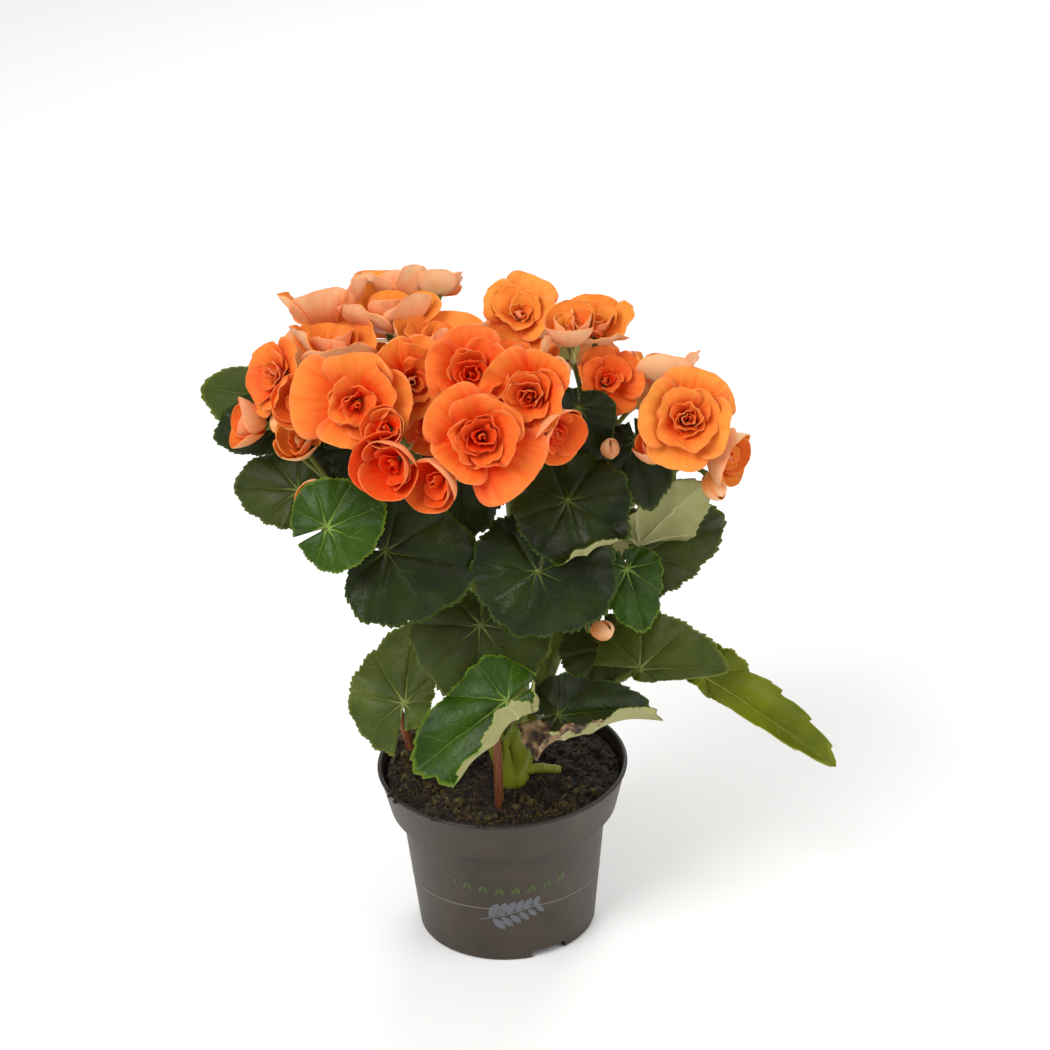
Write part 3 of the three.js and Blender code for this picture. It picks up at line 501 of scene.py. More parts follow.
def dead_leaf(name):
    """A dried, papery brown patch of leaf, blotched nearly black."""
    made, tree, shader = surface(name, Roughness=0.75)
    place = add(tree, "TexCoord").outputs["Object"]
    blotch = add(tree, "TexNoise", {"Vector": place, "Scale": 1 / (5 * MM), "Detail": 5.0})
    tan = add(tree, "ValToRGB", {"Fac": blotch},
              stops=[(0.38, "#2E2114"), (0.5, "#6E5234"), (0.64, "#B09468")])
    relief = add(tree, "Bump", {"Height": blotch, "Strength": 0.8, "Distance": 0.8 * MM})
    feed(shader, {"Base Color": tan, "Normal": relief})
    return made


def vein_masks(tree):
    """Main veins that fan from the stalk, side veins that leave them, and a fine net between.
    The map across a leaf is its flat outline, 1 to 100 mm; the tone's red is how far out."""
    flat = add(tree, "UVMap", uv_map="across").outputs[0]
    wander = add(tree, "TexNoise", {"Vector": flat, "Scale": 100 / 14, "Detail": 2.0})
    shifted = add(tree, "VectorMath", {0: wander.outputs["Color"], 1: (-0.5, -0.5, -0.5)})
    small = add(tree, "VectorMath", {0: shifted, "Scale": 0.055}, operation="SCALE")
    bent = add(tree, "VectorMath", {0: flat, 1: small})
    split = add(tree, "SeparateXYZ", {0: bent})
    far = add(tree, "VectorMath", {0: bent}, operation="LENGTH").outputs["Value"]
    angle = add(tree, "Math", {0: split, 1: split.outputs[1]}, operation="ARCTAN2")
    turned = add(tree, "Math", {0: angle, 1: VEIN_ANGLE / 2}, operation="PINGPONG")
    sine = add(tree, "Math", {0: turned}, operation="SINE")
    off = add(tree, "Math", {0: far, 1: sine}, operation="MULTIPLY")
    cosine = add(tree, "Math", {0: turned}, operation="COSINE")
    along = add(tree, "Math", {0: far, 1: cosine}, operation="MULTIPLY")
    tone = add(tree, "Attribute", attribute_name="tone")
    part = add(tree, "SeparateColor", {0: tone.outputs["Color"]}).outputs[0]
    width = add(tree, "MapRange", {"Value": part, "To Min": 0.0062, "To Max": 0.0012})
    share = add(tree, "Math", {0: off, 1: width}, operation="DIVIDE")
    main = add(tree, "MapRange", {"Value": share, "From Min": 0.4, "From Max": 1.3, "To Min": 1.0,
                                  "To Max": 0.0})
    slant = add(tree, "Math", {0: off, 1: -1.1, 2: along}, operation="MULTIPLY_ADD")
    rib = add(tree, "Math", {0: slant, 1: 0.055}, operation="PINGPONG")
    side = add(tree, "MapRange", {"Value": rib, "From Min": 0.0008, "From Max": 0.0036,
                                  "To Min": 0.6, "To Max": 0.0})
    inner = add(tree, "MapRange", {"Value": turned, "From Min": 0.35 * VEIN_ANGLE,
                                   "From Max": 0.47 * VEIN_ANGLE, "To Min": 1.0, "To Max": 0.0})
    held = add(tree, "Math", {0: side, 1: inner}, operation="MULTIPLY")
    lines = add(tree, "Math", {0: main, 1: held}, operation="MAXIMUM")
    cells = add(tree, "TexVoronoi", {"Vector": flat, "Scale": 100 / 3.2},
                feature="DISTANCE_TO_EDGE")
    net = add(tree, "MapRange", {"Value": cells.outputs["Distance"], "From Max": 0.35,
                                 "To Max": 0.25})
    return lines, net, part


def petal_face(name, heart, deep, pale, foot, rim, claw):
    """Begonia petal: thin, satin and slightly see-through, with veins that fan to its edge. The
    foot's colour reaches to claw along it. The tone holds how far out the petal is, its own
    paleness, how red its bloom is, and in its alpha how near the petal's edge is."""
    made, tree, shader = surface(name, Roughness=0.55, Specular_IOR_Level=0.12,
                                 Subsurface_Weight=0.35,
                                 Subsurface_Radius=(0.004, 0.0011, 0.0003))
    split = add(tree, "SeparateXYZ", {0: add(tree, "UVMap", uv_map="across")})
    run = split.outputs[1]
    tone = add(tree, "Attribute", attribute_name="tone")
    drawn = add(tree, "SeparateColor", {0: tone.outputs["Color"]})
    fan = add(tree, "Mapping", {"Vector": add(tree, "UVMap", uv_map="across"),
                                "Scale": (16.0, 1.2, 1.0)})
    veins = add(tree, "TexNoise", {"Vector": fan, "Scale": 1.0, "Detail": 3.0})
    cloud = add(tree, "TexNoise", {"Vector": add(tree, "TexCoord").outputs["Object"],
                                   "Scale": 1 / (8 * MM), "Detail": 2.0})
    uneven = add(tree, "Math", {0: veins, 1: 0.7, 2: -0.35}, operation="MULTIPLY_ADD")
    reach = add(tree, "Math", {0: run, 1: uneven})
    outer = add(tree, "ValToRGB", {"Fac": reach}, stops=[
        (0.0, foot), (claw, deep), (0.4, deep), (0.9, pale)])
    opened = add(tree, "MapRange", {"Value": drawn, "From Min": 0.1, "From Max": 0.9})
    layered = add(tree, "MixRGB", {"Fac": opened, "Color1": heart, "Color2": outer})
    clouded = add(tree, "MapRange", {"Value": cloud, "From Min": 0.3, "From Max": 0.7,
                                     "To Min": 0.5, "To Max": 1.1})
    softly = add(tree, "Math", {0: drawn.outputs[1], 1: clouded}, operation="MULTIPLY")
    paler = add(tree, "MixRGB", {"Fac": softly, "Color1": layered, "Color2": pale})
    reddening = add(tree, "Math", {0: drawn.outputs[2], 1: 0.75}, operation="MULTIPLY")
    redder = add(tree, "MixRGB", {"Fac": reddening, "Color1": paler, "Color2": heart})
    border = add(tree, "MapRange", {"Value": tone.outputs["Alpha"], "From Min": 0.74,
                                    "To Max": 0.45})
    kept = add(tree, "Math", {0: border, 1: opened}, operation="MULTIPLY")
    edged = add(tree, "MixRGB", {"Fac": kept, "Color1": redder, "Color2": rim})
    relief = add(tree, "Bump", {"Height": veins, "Strength": 0.3, "Distance": 0.3 * MM})
    feed(shader, {"Base Color": edged, "Normal": relief})
    return made


def stem_skin(name, stops):
    """Fleshy begonia stem: smooth, moist and translucent, green with a rosy flush, and paler
    yellow-green where it leaves the peat."""
    made, tree, shader = surface(name, Roughness=0.4, Specular_IOR_Level=0.4, Subsurface_Weight=0.2,
                                 Subsurface_Radius=(0.002, 0.002, 0.0008))
    place = add(tree, "TexCoord").outputs["Object"]
    long = add(tree, "Mapping", {"Vector": place, "Scale": (1.0, 1.0, 0.25)})
    flush = add(tree, "TexNoise", {"Vector": long, "Scale": 1 / (7 * MM), "Detail": 3.0})
    streak = add(tree, "TexNoise", {"Vector": long, "Scale": 1 / (0.7 * MM), "Detail": 1.0})
    flushed = add(tree, "ValToRGB", {"Fac": flush}, stops=stops)
    high = add(tree, "SeparateXYZ", {0: place}).outputs[2]
    low = add(tree, "MapRange", {"Value": high, "From Min": 96 * MM, "From Max": 140 * MM,
                                 "To Min": 0.8, "To Max": 0.0})
    skin = add(tree, "MixRGB", {"Fac": low, "Color1": flushed, "Color2": "#8E9826"})
    relief = add(tree, "Bump", {"Height": streak, "Strength": 0.25, "Distance": 0.3 * MM})
    feed(shader, {"Base Color": skin, "Normal": relief})
    return made


def peat(name, stops, grain):
    """Moist peat: black-brown crumbs with paler fibre, quite matt."""
    made, tree, shader = surface(name, Roughness=0.85)
    place = add(tree, "TexCoord").outputs["Object"]
    lumps = add(tree, "TexNoise", {"Vector": place, "Scale": 1 / (grain * MM), "Detail": 6.0,
                                   "Roughness": 0.65})
    shade = add(tree, "ValToRGB", {"Fac": lumps}, stops=stops)
    relief = add(tree, "Bump", {"Height": lumps, "Strength": 1.0, "Distance": 1.2 * MM})
    feed(shader, {"Base Color": shade, "Normal": relief})
    return made


def moulded_pot():
    """Moulded polypropylene: grey-brown with a low satin shine, a darker lip and faint dust."""
    made, tree, shader = surface("moulded polypropylene", Specular_IOR_Level=0.4)
    place = add(tree, "TexCoord").outputs["Object"]
    flow = add(tree, "TexNoise", {"Vector": place, "Scale": 1 / (20 * MM), "Detail": 2.0})
    dust = add(tree, "TexNoise", {"Vector": place, "Scale": 1 / (3 * MM), "Detail": 5.0})
    grain = add(tree, "TexNoise", {"Vector": place, "Scale": 1 / (0.5 * MM), "Detail": 1.0})
    body = add(tree, "ValToRGB", {"Fac": flow}, stops=[(0.3, "#352B21"), (0.7, "#40362B")])
    high = add(tree, "SeparateXYZ", {0: place}).outputs[2]
    lip = add(tree, "MapRange", {"Value": high, "From Min": 91.4 * MM, "From Max": 92 * MM,
                                 "To Max": 0.85})
    lipped = add(tree, "MixRGB", {"Fac": lip, "Color1": body, "Color2": "#2A2420"})
    fleck = add(tree, "MapRange", {"Value": dust, "From Min": 0.64, "From Max": 0.8,
                                   "To Max": 0.18})
    dusty = add(tree, "MixRGB", {"Fac": fleck, "Color1": lipped, "Color2": "#6A6054"})
    shine = add(tree, "MapRange", {"Value": dust, "To Min": 0.4, "To Max": 0.58})
    relief = add(tree, "Bump", {"Height": grain, "Strength": 0.08, "Distance": 0.2 * MM})
    feed(shader, {"Base Color": dusty, "Roughness": shine, "Normal": relief})
    return made


def stained_dowel():
    """Wooden dowel stained reddish brown: long fibres, half matt."""
    made, tree, shader = surface("stained wood dowel", Roughness=0.6)
    place = add(tree, "TexCoord").outputs["Object"]
    long = add(tree, "Mapping", {"Vector": place, "Scale": (1.0, 1.0, 0.04)})
    fibre = add(tree, "TexNoise", {"Vector": long, "Scale": 1 / (0.5 * MM), "Detail": 4.0})
    shade = add(tree, "ValToRGB", {"Fac": fibre},
                stops=[(0.3, "#52240C"), (0.55, "#84481E"), (0.75, "#A86C3C")])
    relief = add(tree, "Bump", {"Height": fibre, "Strength": 0.4, "Distance": 0.3 * MM})
    feed(shader, {"Base Color": shade, "Normal": relief})
    return made


def plain(name, code, roughness, grain):
    """One tone with a fine mottling: print ink, moss, fibre and seed wing."""
    made, tree, shader = surface(name, Roughness=roughness)
    place = add(tree, "TexCoord").outputs["Object"]
    mottle = add(tree, "TexNoise", {"Vector": place, "Scale": 1 / (grain * MM), "Detail": 3.0})
    shade = add(tree, "MapRange", {"Value": mottle, "To Min": 0.75, "To Max": 1.25})
    tint = add(tree, "HueSaturation", {"Value": shade, "Color": code})
    feed(shader, {"Base Color": tint})
    return made


# Leaves


def leaf_frame(leaf):
    """The normal of the upper face, where the midrib points, and the way across."""
    normal = direction(*leaf["face"])
    down = (Vector((0, 0, -1)) + normal * normal.z).normalized()
    turn = math.radians(leaf["turn"])
    tip = down * math.cos(turn) + normal.cross(down) * math.sin(turn)
    return normal, tip, tip.cross(normal)


def leaf_reach(leaf, angle):
    """The reach of the margin from the stalk, from the tip (0) round to the lobes by the sinus."""
    tip, right, left = leaf["size"]
    side = right if angle < 0 else left
    away = abs(angle)
    if away < math.pi / 2:
        oval = 1 / math.hypot(math.cos(away) / tip, math.sin(away) / side)
        return oval * (0.9 + 0.1 * math.cos(away) ** 12)
    past = (away - math.pi / 2) / (SINUS - math.pi / 2)
    lobe = leaf.get("lobe", 0.8)
    return 0.9 * side * (1 + (lobe - 1) * math.sin(past * math.pi / 2) ** 2)


def margin_cut(leaf, angle):
    """The share that the broad lobes and the forward-pointing teeth take off the reach."""
    away = abs(angle) / SINUS
    tooth = away * TEETH
    uneven = 0.7 + 0.3 * draw(math.floor(tooth + 0.01) + leaf["at"][0] + leaf["turn"])
    lobe = 1 - abs(math.cos(math.pi * LOBES * away))
    cut = TOOTH_CUT * uneven * ((tooth + 0.01) % 1)
    cut += LOBE_CUT * lobe * (0.7 + 0.3 * draw(leaf["at"][2]))
    if leaf["name"] == LOBED["name"]:
        along = leaf_reach(leaf, angle) * math.cos(angle) / LOBED["pitch"]
        notch = (1 - abs(math.sin(math.pi * along))) ** 1.5
        cut += LOBED["share"] * notch * min(1, 4 * abs(angle))
    return cut


def leaf_point(leaf, axes, angle, part):
    """A point of a leaf's surface. Each fold rolls what lies beyond a line round a bar."""
    normal, tip, across = axes
    r = leaf_reach(leaf, angle) * (1 - margin_cut(leaf, angle) * part ** 10) * part
    x = r * math.sin(angle)
    y = r * math.cos(angle)
    size = leaf["size"][0]
    z = -CUP * r * r / size + KEEL * abs(x)
    z += SWAY * size * part ** 2.5 * math.sin(4 * angle + 1)
    to_vein = abs((angle + VEIN_ANGLE / 2) % VEIN_ANGLE - VEIN_ANGLE / 2)
    z += PUFF * r * math.sin(math.pi * to_vein / VEIN_ANGLE) ** 0.8 * (1 - 0.5 * part)
    z -= CREASE["depth"] * math.exp(-(r * to_vein / CREASE["width"]) ** 2)
    spot = Vector((x / RUMPLE["width"], y / RUMPLE["width"], leaf["at"][2]))
    z += RUMPLE["height"] * part * noise.noise(spot)
    z += FRILL["height"] * part ** 5 * math.sin(FRILL["waves"] * angle + leaf["at"][0])
    for toward, at, radius, angle_bent in leaf.get("folds", ()):
        turned_to = math.radians(toward - leaf["turn"])
        dx = -math.sin(turned_to)
        dy = math.cos(turned_to)
        beyond = x * dx + y * dy - at
        if beyond <= 0:
            continue
        turned = min(beyond / radius, math.radians(angle_bent))
        straight = beyond - turned * radius
        along = (radius - z) * math.sin(turned) + straight * math.cos(turned)
        z = radius - (radius - z) * math.cos(turned) + straight * math.sin(turned)
        x += dx * (along - beyond)
        y += dy * (along - beyond)
    return Vector(leaf["at"]) + across * x + tip * y + normal * z


def grow_leaf(mesh, leaf):
    """One blade, mapped by its flat outline, with how far out each corner lies in its tone."""
    axes = leaf_frame(leaf)

    def spot(u, v):
        return SINUS * (2 * u - 1), v ** 0.85

    def flat(u, v):
        angle, part = spot(u, v)
        r = leaf_reach(leaf, angle) * part / 100
        return r * math.sin(angle), r * math.cos(angle)

    sheet(mesh, LEAF_COLUMNS, LEAF_ROWS, lambda u, v: leaf_point(leaf, axes, *spot(u, v)), flat,
          lambda u, v: (spot(u, v)[1], 0, 0, 1))
    if leaf["name"] == DRIED["name"]:
        across = mesh.loops.layers.uv["across"]
        for face in mesh.faces:
            x, y = face.loops[0][across].uv * 100
            ragged = 3 * noise.noise(Vector((x / 4, y / 4, 0)))
            if any(math.hypot(x - a, y - b) < radius + ragged for a, b, radius in DRIED["patches"]):
                face.material_index = 2


def grow_leaves(upper, under, dried):
    """Every leaf, two lobes of one name together."""
    meshes = {}
    for leaf in LEAVES:
        name = leaf["name"]
        if name not in meshes:
            meshes[name] = (start_mesh(), leaf.get("look", "dark"))
        grow_leaf(meshes[name][0], leaf)
    for name, (mesh, look) in meshes.items():
        piece(name + "_blade", mesh, [upper[look], under, dried, dried], [name],
              LEAF_THICKNESS)


# Blooms


def bloom_frame(face):
    """The axis that a bloom looks along, the way up across it, and the way right."""
    axis = direction(*face)
    up = Vector((0, 0, 1)) - axis * axis.z
    up = up.normalized() if up.length > 0.05 else Vector((0, 1, 0))
    return axis, up, up.cross(axis)


def petal_run(petal, run, lift):
    """Off the axis and along it, where a petal has come after a given run."""
    opened = math.radians(petal["open"][0])
    rate = (math.radians(petal["open"][1]) - opened) / petal["length"] + 1e-5
    here = opened + rate * run
    away = (math.cos(opened) - math.cos(here)) / rate
    along = (math.sin(here) - math.sin(opened)) / rate
    return (petal["foot"][0] + away - lift * math.cos(here),
            petal["foot"][1] + along + lift * math.sin(here))


def grow_petal(mesh, base, axes, petal):
    """One petal: narrow at its foot, broad and round beyond, cupped, with a ruffled edge."""
    axis, up, right = axes
    length = petal["length"]
    half = petal["width"] * length / 2
    claw = petal["claw"]
    phase = 3 * draw(petal["seed"])
    widest = (2 * claw / (2 * claw + BLUNT)) ** (1 / BLUNT)
    cells = 6 + min(8, round(length / 3))

    def spread(t):
        return t ** claw * (1 - t ** BLUNT) ** 0.5

    def spot(u, v):
        t = v * (2 - v)
        return t, (2 * u - 1) * spread(t) / spread(widest)

    def place(u, v):
        t, side = spot(u, v)
        a = half * side
        edge = side * side + t ** 4
        wave = (math.sin(4.5 * side + phase) + 0.5 * math.sin(10 * side + 2.3 * phase)
                + 0.4 * math.sin(7 * t + phase))
        lift = petal["cup"] * a * a / length + petal["ruffle"] * length * edge * wave
        lift += petal["twist"] * a * t * t
        away, along = petal_run(petal, length * t, lift)
        turned = side * math.radians(petal["clasp"])
        away *= 1 - petal["flat"] * math.sin(turned) ** 2
        roll = math.radians(petal["roll"]) + petal["wrap"] * turned
        out = up * math.cos(roll) + right * math.sin(roll)
        over = right * math.cos(roll) - up * math.sin(roll)
        return base + out * away + over * a * (1 - petal["wrap"]) + axis * along

    def fan(u, v):
        t, side = spot(u, v)
        return 0.5 + 0.4 * side / (0.35 + t), t

    def tone(u, v):
        return (*petal["tone"], max(abs(2 * u - 1), v))

    sheet(mesh, cells, cells - 1, place, fan, tone)


# The whorls of each form: how many petals, length as a share of the bloom's width, angles off the
# axis at root and tip, how much more upright every other one stands, roll of the first, foot off
# and along the axis, width to length, claw, cup, ruffle, how far it wraps the axis, the angle that
# it clasps to each side, and how far out it lies in the bloom.
WHORLS = {
    "full": [
        (4, 0.56, (54, 84), 16, 0, (2.0, 1.0), 1.3, 0.6, 0.14, 0.06, 0, 0, 1.0),
        (4, 0.43, (40, 64), 14, 40, (1.8, 2.0), 1.2, 0.6, 0.3, 0.075, 0.2, 45, 0.7),
    ],
    "plain": [
        (4, 0.56, (54, 84), 16, 0, (2.0, 1.0), 1.3, 0.6, 0.14, 0.06, 0, 0, 1.0),
        (3, 0.42, (34, 56), 12, 45, (1.6, 2.0), 1.3, 0.6, 0.35, 0.075, 0.25, 50, 0.65),
    ],
    "goblet": [
        (4, 0.62, (78, 24), 12, 0, (2.0, 1.0), 1.35, 0.6, 0.1, 0.05, 0.12, 40, 1.0),
        (4, 0.42, (44, 16), 8, 45, (1.6, 2.0), 1.2, 0.6, 0.2, 0.05, 0.25, 50, 0.6),
    ],
    "cup": [
        (2, 0.72, (62, 4), 0, 0, (1.4, 0.6), 1.3, 0.45, 0, 0.02, 0.85, 92, 0.75),
        (2, 0.66, (52, 0), 0, 90, (1.2, 1.0), 1.2, 0.45, 0, 0.02, 0.85, 84, 0.5),
    ],
    "bud": [
        (2, 1.34, (76, -82), 0, 90, (0.3, -0.6), 1.0, 0.4, 0, 0, 1, 84, 1.0),
        (2, 1.38, (76, -80), 0, 0, (0.4, -1.0), 1.0, 0.4, 0, 0, 1, 104, 0.9),
    ],
}

# How loosely the petals of the outermost whorl and of the others lie, in degrees
LOOSE = (4, 15)

# The heart of each form: how many petals and the length of the longest
HEARTS = {"full": (9, 0.35), "plain": (7, 0.3), "goblet": (6, 0.3), "cup": (5, 0.44), "bud": (0, 0)}


def grow_bloom(mesh, hues, form, at, face, size, roll, shares=(1, 1, 1, 1)):
    """The outer petals of one bloom as its solid has them, then the spiral of its heart."""
    axes = bloom_frame(face)
    base = Vector(at)
    red, pale = hues
    red += 0.2 * draw(sum(k * c for k, c in zip(HUE_DRAW, at)))
    if form == "bud":
        red, pale = BUD_HUES
    for k, whorl in enumerate(WHORLS[form]):
        count, share, opened, shut, turn, foot, width, claw, cup, ruffle, wrap, clasp, out = whorl
        for i in range(count):
            vary = draw(at[0] * 3 + at[2] + i * 7 + turn)
            own = shares[i % 4] if k == 0 else 1
            loose = LOOSE[min(k, 1)]
            grow_petal(mesh, base, axes, {
                "roll": roll + turn + i * 360 / count + loose * k * vary,
                "length": share * size * own * (1 + 0.012 * loose * vary),
                "open": [angle - shut * (i % 2) + loose * vary for angle in opened],
                "foot": foot, "width": width * (1 + 0.08 * vary), "claw": claw, "cup": cup,
                "ruffle": ruffle, "wrap": wrap, "clasp": clasp,
                "flat": 0.22 if form == "bud" else 0,
                "twist": 0 if form in ("cup", "bud") else 0.22 * vary,
                "seed": at[0] + at[2] + 5 * k + i,
                "tone": (out, pale + 0.3 * draw(at[1] + 3 * i + k), red),
            })
    count, length = HEARTS[form]
    tilt = 0.2 if form in ("full", "plain") else 0.05
    lean = (axes[0] + axes[1] * tilt * draw(at[0]) + axes[2] * tilt * draw(at[2])).normalized()
    up = (axes[1] - lean * lean.dot(axes[1])).normalized()
    for i in range(count):
        inward = i / (count - 1)
        vary = draw(at[2] + 11 * i)
        swerve = draw(at[0] + 17 * i)
        grow_petal(mesh, base, (lean, up, up.cross(lean)), {
            "roll": roll + GOLDEN_ANGLE * i + 16 * swerve,
            "length": length * size * (1 - 0.3 * inward) * (1 + 0.16 * vary),
            "open": (34 - 26 * inward + 8 * vary, 50 - 66 * inward + 16 * swerve),
            "foot": (1.8 - 1.4 * inward, 2 + 2.4 * inward), "width": 1.4 + 0.25 * swerve,
            "claw": 0.5, "cup": 0.3 * (1 - inward), "ruffle": 0.07, "wrap": 0.4 + 0.4 * inward,
            "clasp": 52 + 30 * inward, "flat": 0, "twist": 0.3 * vary, "seed": at[1] + 9 * i,
            "tone": (0.5 * (1 - inward), pale + 0.4 * vary, red),
        })


def flower_stalk(mesh, fork, at, face):
    """The stalk from the fork to a bloom, with the swelling that carries the petals."""
    looks = direction(*face)
    start = Vector(fork)
    end = Vector(at)
    length = (end - start).length
    steps = 10
    centres = bend(start, start + Vector((0, 0, 0.3 * length)), end - looks * 0.3 * length,
                   end + looks * 1.2, steps)
    radii = [1.3 + 0.25 * math.exp(-i) for i in range(steps - 1)] + [1.7, 2.3]
    tube(mesh, centres, radii, 9)


def ovary(mesh, at, face, size):
    """Three pale wings under a seed-bearing bloom."""
    axes = bloom_frame(face)
    base = Vector(at) - axes[0] * 0.3 * size
    for i in range(3):
        roll = math.radians(120 * i + 30)
        out = axes[1] * math.cos(roll) + axes[2] * math.sin(roll)
        sheet(mesh, 6, 6, lambda u, v, out=out: base + axes[0] * 0.34 * size * u
              + out * 0.22 * size * v * math.sin(math.pi * min(1, 0.15 + 0.85 * u)) ** 0.7)


def grow_sprays(petal_front, petal_back, skin, wing):
    """Each spray's petals and its forked stalks, two pieces that stand for one node."""
    for name, (fork, _, blooms) in SPRAYS.items():
        petals = start_mesh()
        stalks = start_mesh()
        wings = start_mesh()
        for bloom in blooms:
            grow_bloom(petals, HUES.get(name, BLOOM_HUES), *bloom)
            form, at, face, size = bloom[:4]
            flower_stalk(stalks, fork, at, face)
            if form == "cup" and size > 28:
                ovary(wings, at, face, size)
        piece(name + "_petals", petals, [petal_front, petal_back], [name],
              PETAL_THICKNESS)
        piece(name + "_stalks", stalks, [skin], [name])
        if len(wings.verts):
            piece(name + "_ovaries", wings, [wing, wing], [name], 0.5)
        else:
            wings.free()


# Stems


def grow_stems(skin):
    """The main stems, then the stalks of leaves and sprays, each sunk into its stem."""
    mesh = start_mesh()
    steps = 40
    for radius, places in STEMS:
        centres = [smooth_path(places, i / steps) for i in range(steps + 1)]
        radii = []
        for i in range(steps + 1):
            joint = math.exp(-(((i * 4 / steps) % 1 - 0.5) / 0.13) ** 2)
            radii.append(radius * (1.15 - 0.35 * i / steps + 0.14 * joint))
        if places[0][2] < SOIL_LEVEL + 4:
            centres.insert(0, centres[0] - Vector((0, 0, 8)))
            radii.insert(0, radii[0])
        tube(mesh, centres, radii, 14)
    for leaf in LEAVES:
        if "stalk" not in leaf:
            continue
        normal, tip, _ = leaf_frame(leaf)
        arrive = (normal * 0.6 + tip * 0.5).normalized()
        grow_stalk(mesh, leaf["stalk"], Vector(leaf["at"]) - normal * 0.5, arrive, (2.5, 1.7))
    for fork, root, _ in SPRAYS.values():
        grow_stalk(mesh, root, Vector(fork), Vector((0, 0, 1)), (1.9, 1.6))
    piece("stems_flesh", mesh, [skin], ["stems"])


def grow_stalk(mesh, root, end, arrive, radii):
    """A stalk from part way up a stem to its leaf or fork, thicker where it leaves."""
    stem, part = root
    places = STEMS[stem][1]
    start = smooth_path(places, part)
    rise = (smooth_path(places, min(1, part + 0.01)) - smooth_path(places, part - 0.01))
    length = (end - start).length
    slant = (end - start)
    slant.z = 0
    slant = slant.normalized() * 0.8 + rise.normalized() * 0.6
    steps = 14
    centres = bend(start, start + slant * 0.35 * length, end - arrive * 0.35 * length, end, steps)
    root_radius, end_radius = radii
    sizes = []
    for i in range(steps + 1):
        t = i / steps
        sizes.append(root_radius + (end_radius - root_radius) * t + 0.9 * math.exp(-9 * t))
    tube(mesh, centres, sizes, 10)


# Pot, soil and stakes


def turn_pot(plastic):
    """The pot, spun from its profile, with the drain notches cut through the foot."""
    mesh = start_mesh()
    lip = [(RIM_RADIUS - LIP + LIP * math.cos(a), POT_HEIGHT - LIP + LIP * math.sin(a))
           for a in [math.radians(d) for d in range(-40, 181, 20)]]
    profile = [
        (0, FLOOR_LIFT), (BASE_RADIUS - FOOT_RING - 1, FLOOR_LIFT), (BASE_RADIUS - FOOT_RING, 0),
        (BASE_RADIUS - 0.8, 0), (BASE_RADIUS, 0.7), (BODY_TOP_RADIUS - 0.2, BAND_FOOT - 2.4),
        (BODY_TOP_RADIUS + 0.5, BAND_FOOT - 1.0), (BAND_FOOT_RADIUS - 1.4, BAND_FOOT - 0.2),
        (BAND_FOOT_RADIUS - 0.3, BAND_FOOT + 0.4), (BAND_FOOT_RADIUS, BAND_FOOT + 1.4),
        (RIM_RADIUS - 1.1, POT_HEIGHT - 3), *lip,
        (RIM_RADIUS - 2.4, POT_HEIGHT - 3), (BAND_FOOT_RADIUS - WALL, BAND_FOOT + 2),
        (BODY_TOP_RADIUS - WALL, BAND_FOOT + 1), (BASE_RADIUS - WALL, POT_FLOOR), (0, POT_FLOOR),
    ]
    verts = [mesh.verts.new((r, 0, z)) for r, z in profile]
    edges = [mesh.edges.new(pair) for pair in zip(verts, verts[1:])]
    bmesh.ops.spin(mesh, geom=verts + edges, cent=(0, 0, 0), axis=(0, 0, 1), dvec=(0, 0, 0),
                   angle=2 * math.pi, steps=160, use_merge=True, use_duplicate=False)
    bmesh.ops.remove_doubles(mesh, verts=mesh.verts, dist=1e-3)
    bmesh.ops.recalc_face_normals(mesh, faces=mesh.faces)
    for face in mesh.faces:
        face.smooth = True
    cutter = bmesh.new()
    for azimuth in NOTCHES:
        middle = direction(azimuth, 0) * (BASE_RADIUS - 3)
        turn = Matrix.Rotation(math.radians(azimuth), 4, "Z")
        box = bmesh.ops.create_cube(cutter, size=1)["verts"]
        bmesh.ops.transform(cutter, verts=box, matrix=Matrix.Translation(middle) @ turn
                            @ Matrix.Diagonal((*NOTCH_SIZE, 1)))
        hole = direction(azimuth + 60, 0) * BASE_RADIUS * 0.55
        bmesh.ops.create_cone(cutter, cap_ends=True, segments=32, radius1=DRAIN_RADIUS,
                              radius2=DRAIN_RADIUS, depth=8, matrix=Matrix.Translation(hole))
    data = bpy.data.meshes.new("notches")
    bmesh.ops.transform(cutter, matrix=Matrix.Scale(MM, 4), verts=cutter.verts)
    cutter.to_mesh(data)
    cutter.free()
    tool = bpy.data.objects.new("notches", data)
    bpy.context.scene.collection.objects.link(tool)
    made = piece("pot_moulding", mesh, [plastic], ["pot"])
    cut = made.modifiers.new("Notches", "BOOLEAN")
    cut.object = tool
    cut.solver = "EXACT"
    made.data = bpy.data.meshes.new_from_object(
        made.evaluated_get(bpy.context.evaluated_depsgraph_get()))
    made.modifiers.clear()
    made.data.set_sharp_from_angle(angle=math.radians(38))
    bpy.data.objects.remove(tool)


def wall_radius(z):
    """The outside of the pot's tapered body at a height."""
    return BASE_RADIUS + (BODY_TOP_RADIUS - 0.2 - BASE_RADIUS) * (z - 0.7) / (BAND_FOOT - 3.1)


def on_wall(x, z):
    """A point on the body of the pot, x along its curve from the front."""
    radius = wall_radius(z)
    angle = x / radius
    reach = radius + PROUD
    return Vector((reach * math.sin(angle), -reach * math.cos(angle), z))


def print_leaf(mesh, x, z, length, width, lean):
    """A small printed leaf on the pot's wall, its foot at x, z."""
    a = math.radians(lean)

    def place(u, v):
        side = (2 * u - 1) * width / 2 * math.sin(math.pi * v) ** 0.8
        along = length * v
        return on_wall(x + along * math.sin(a) + side * math.cos(a),
                       z + along * math.cos(a) - side * math.sin(a))

    sheet(mesh, 4, 8, place)


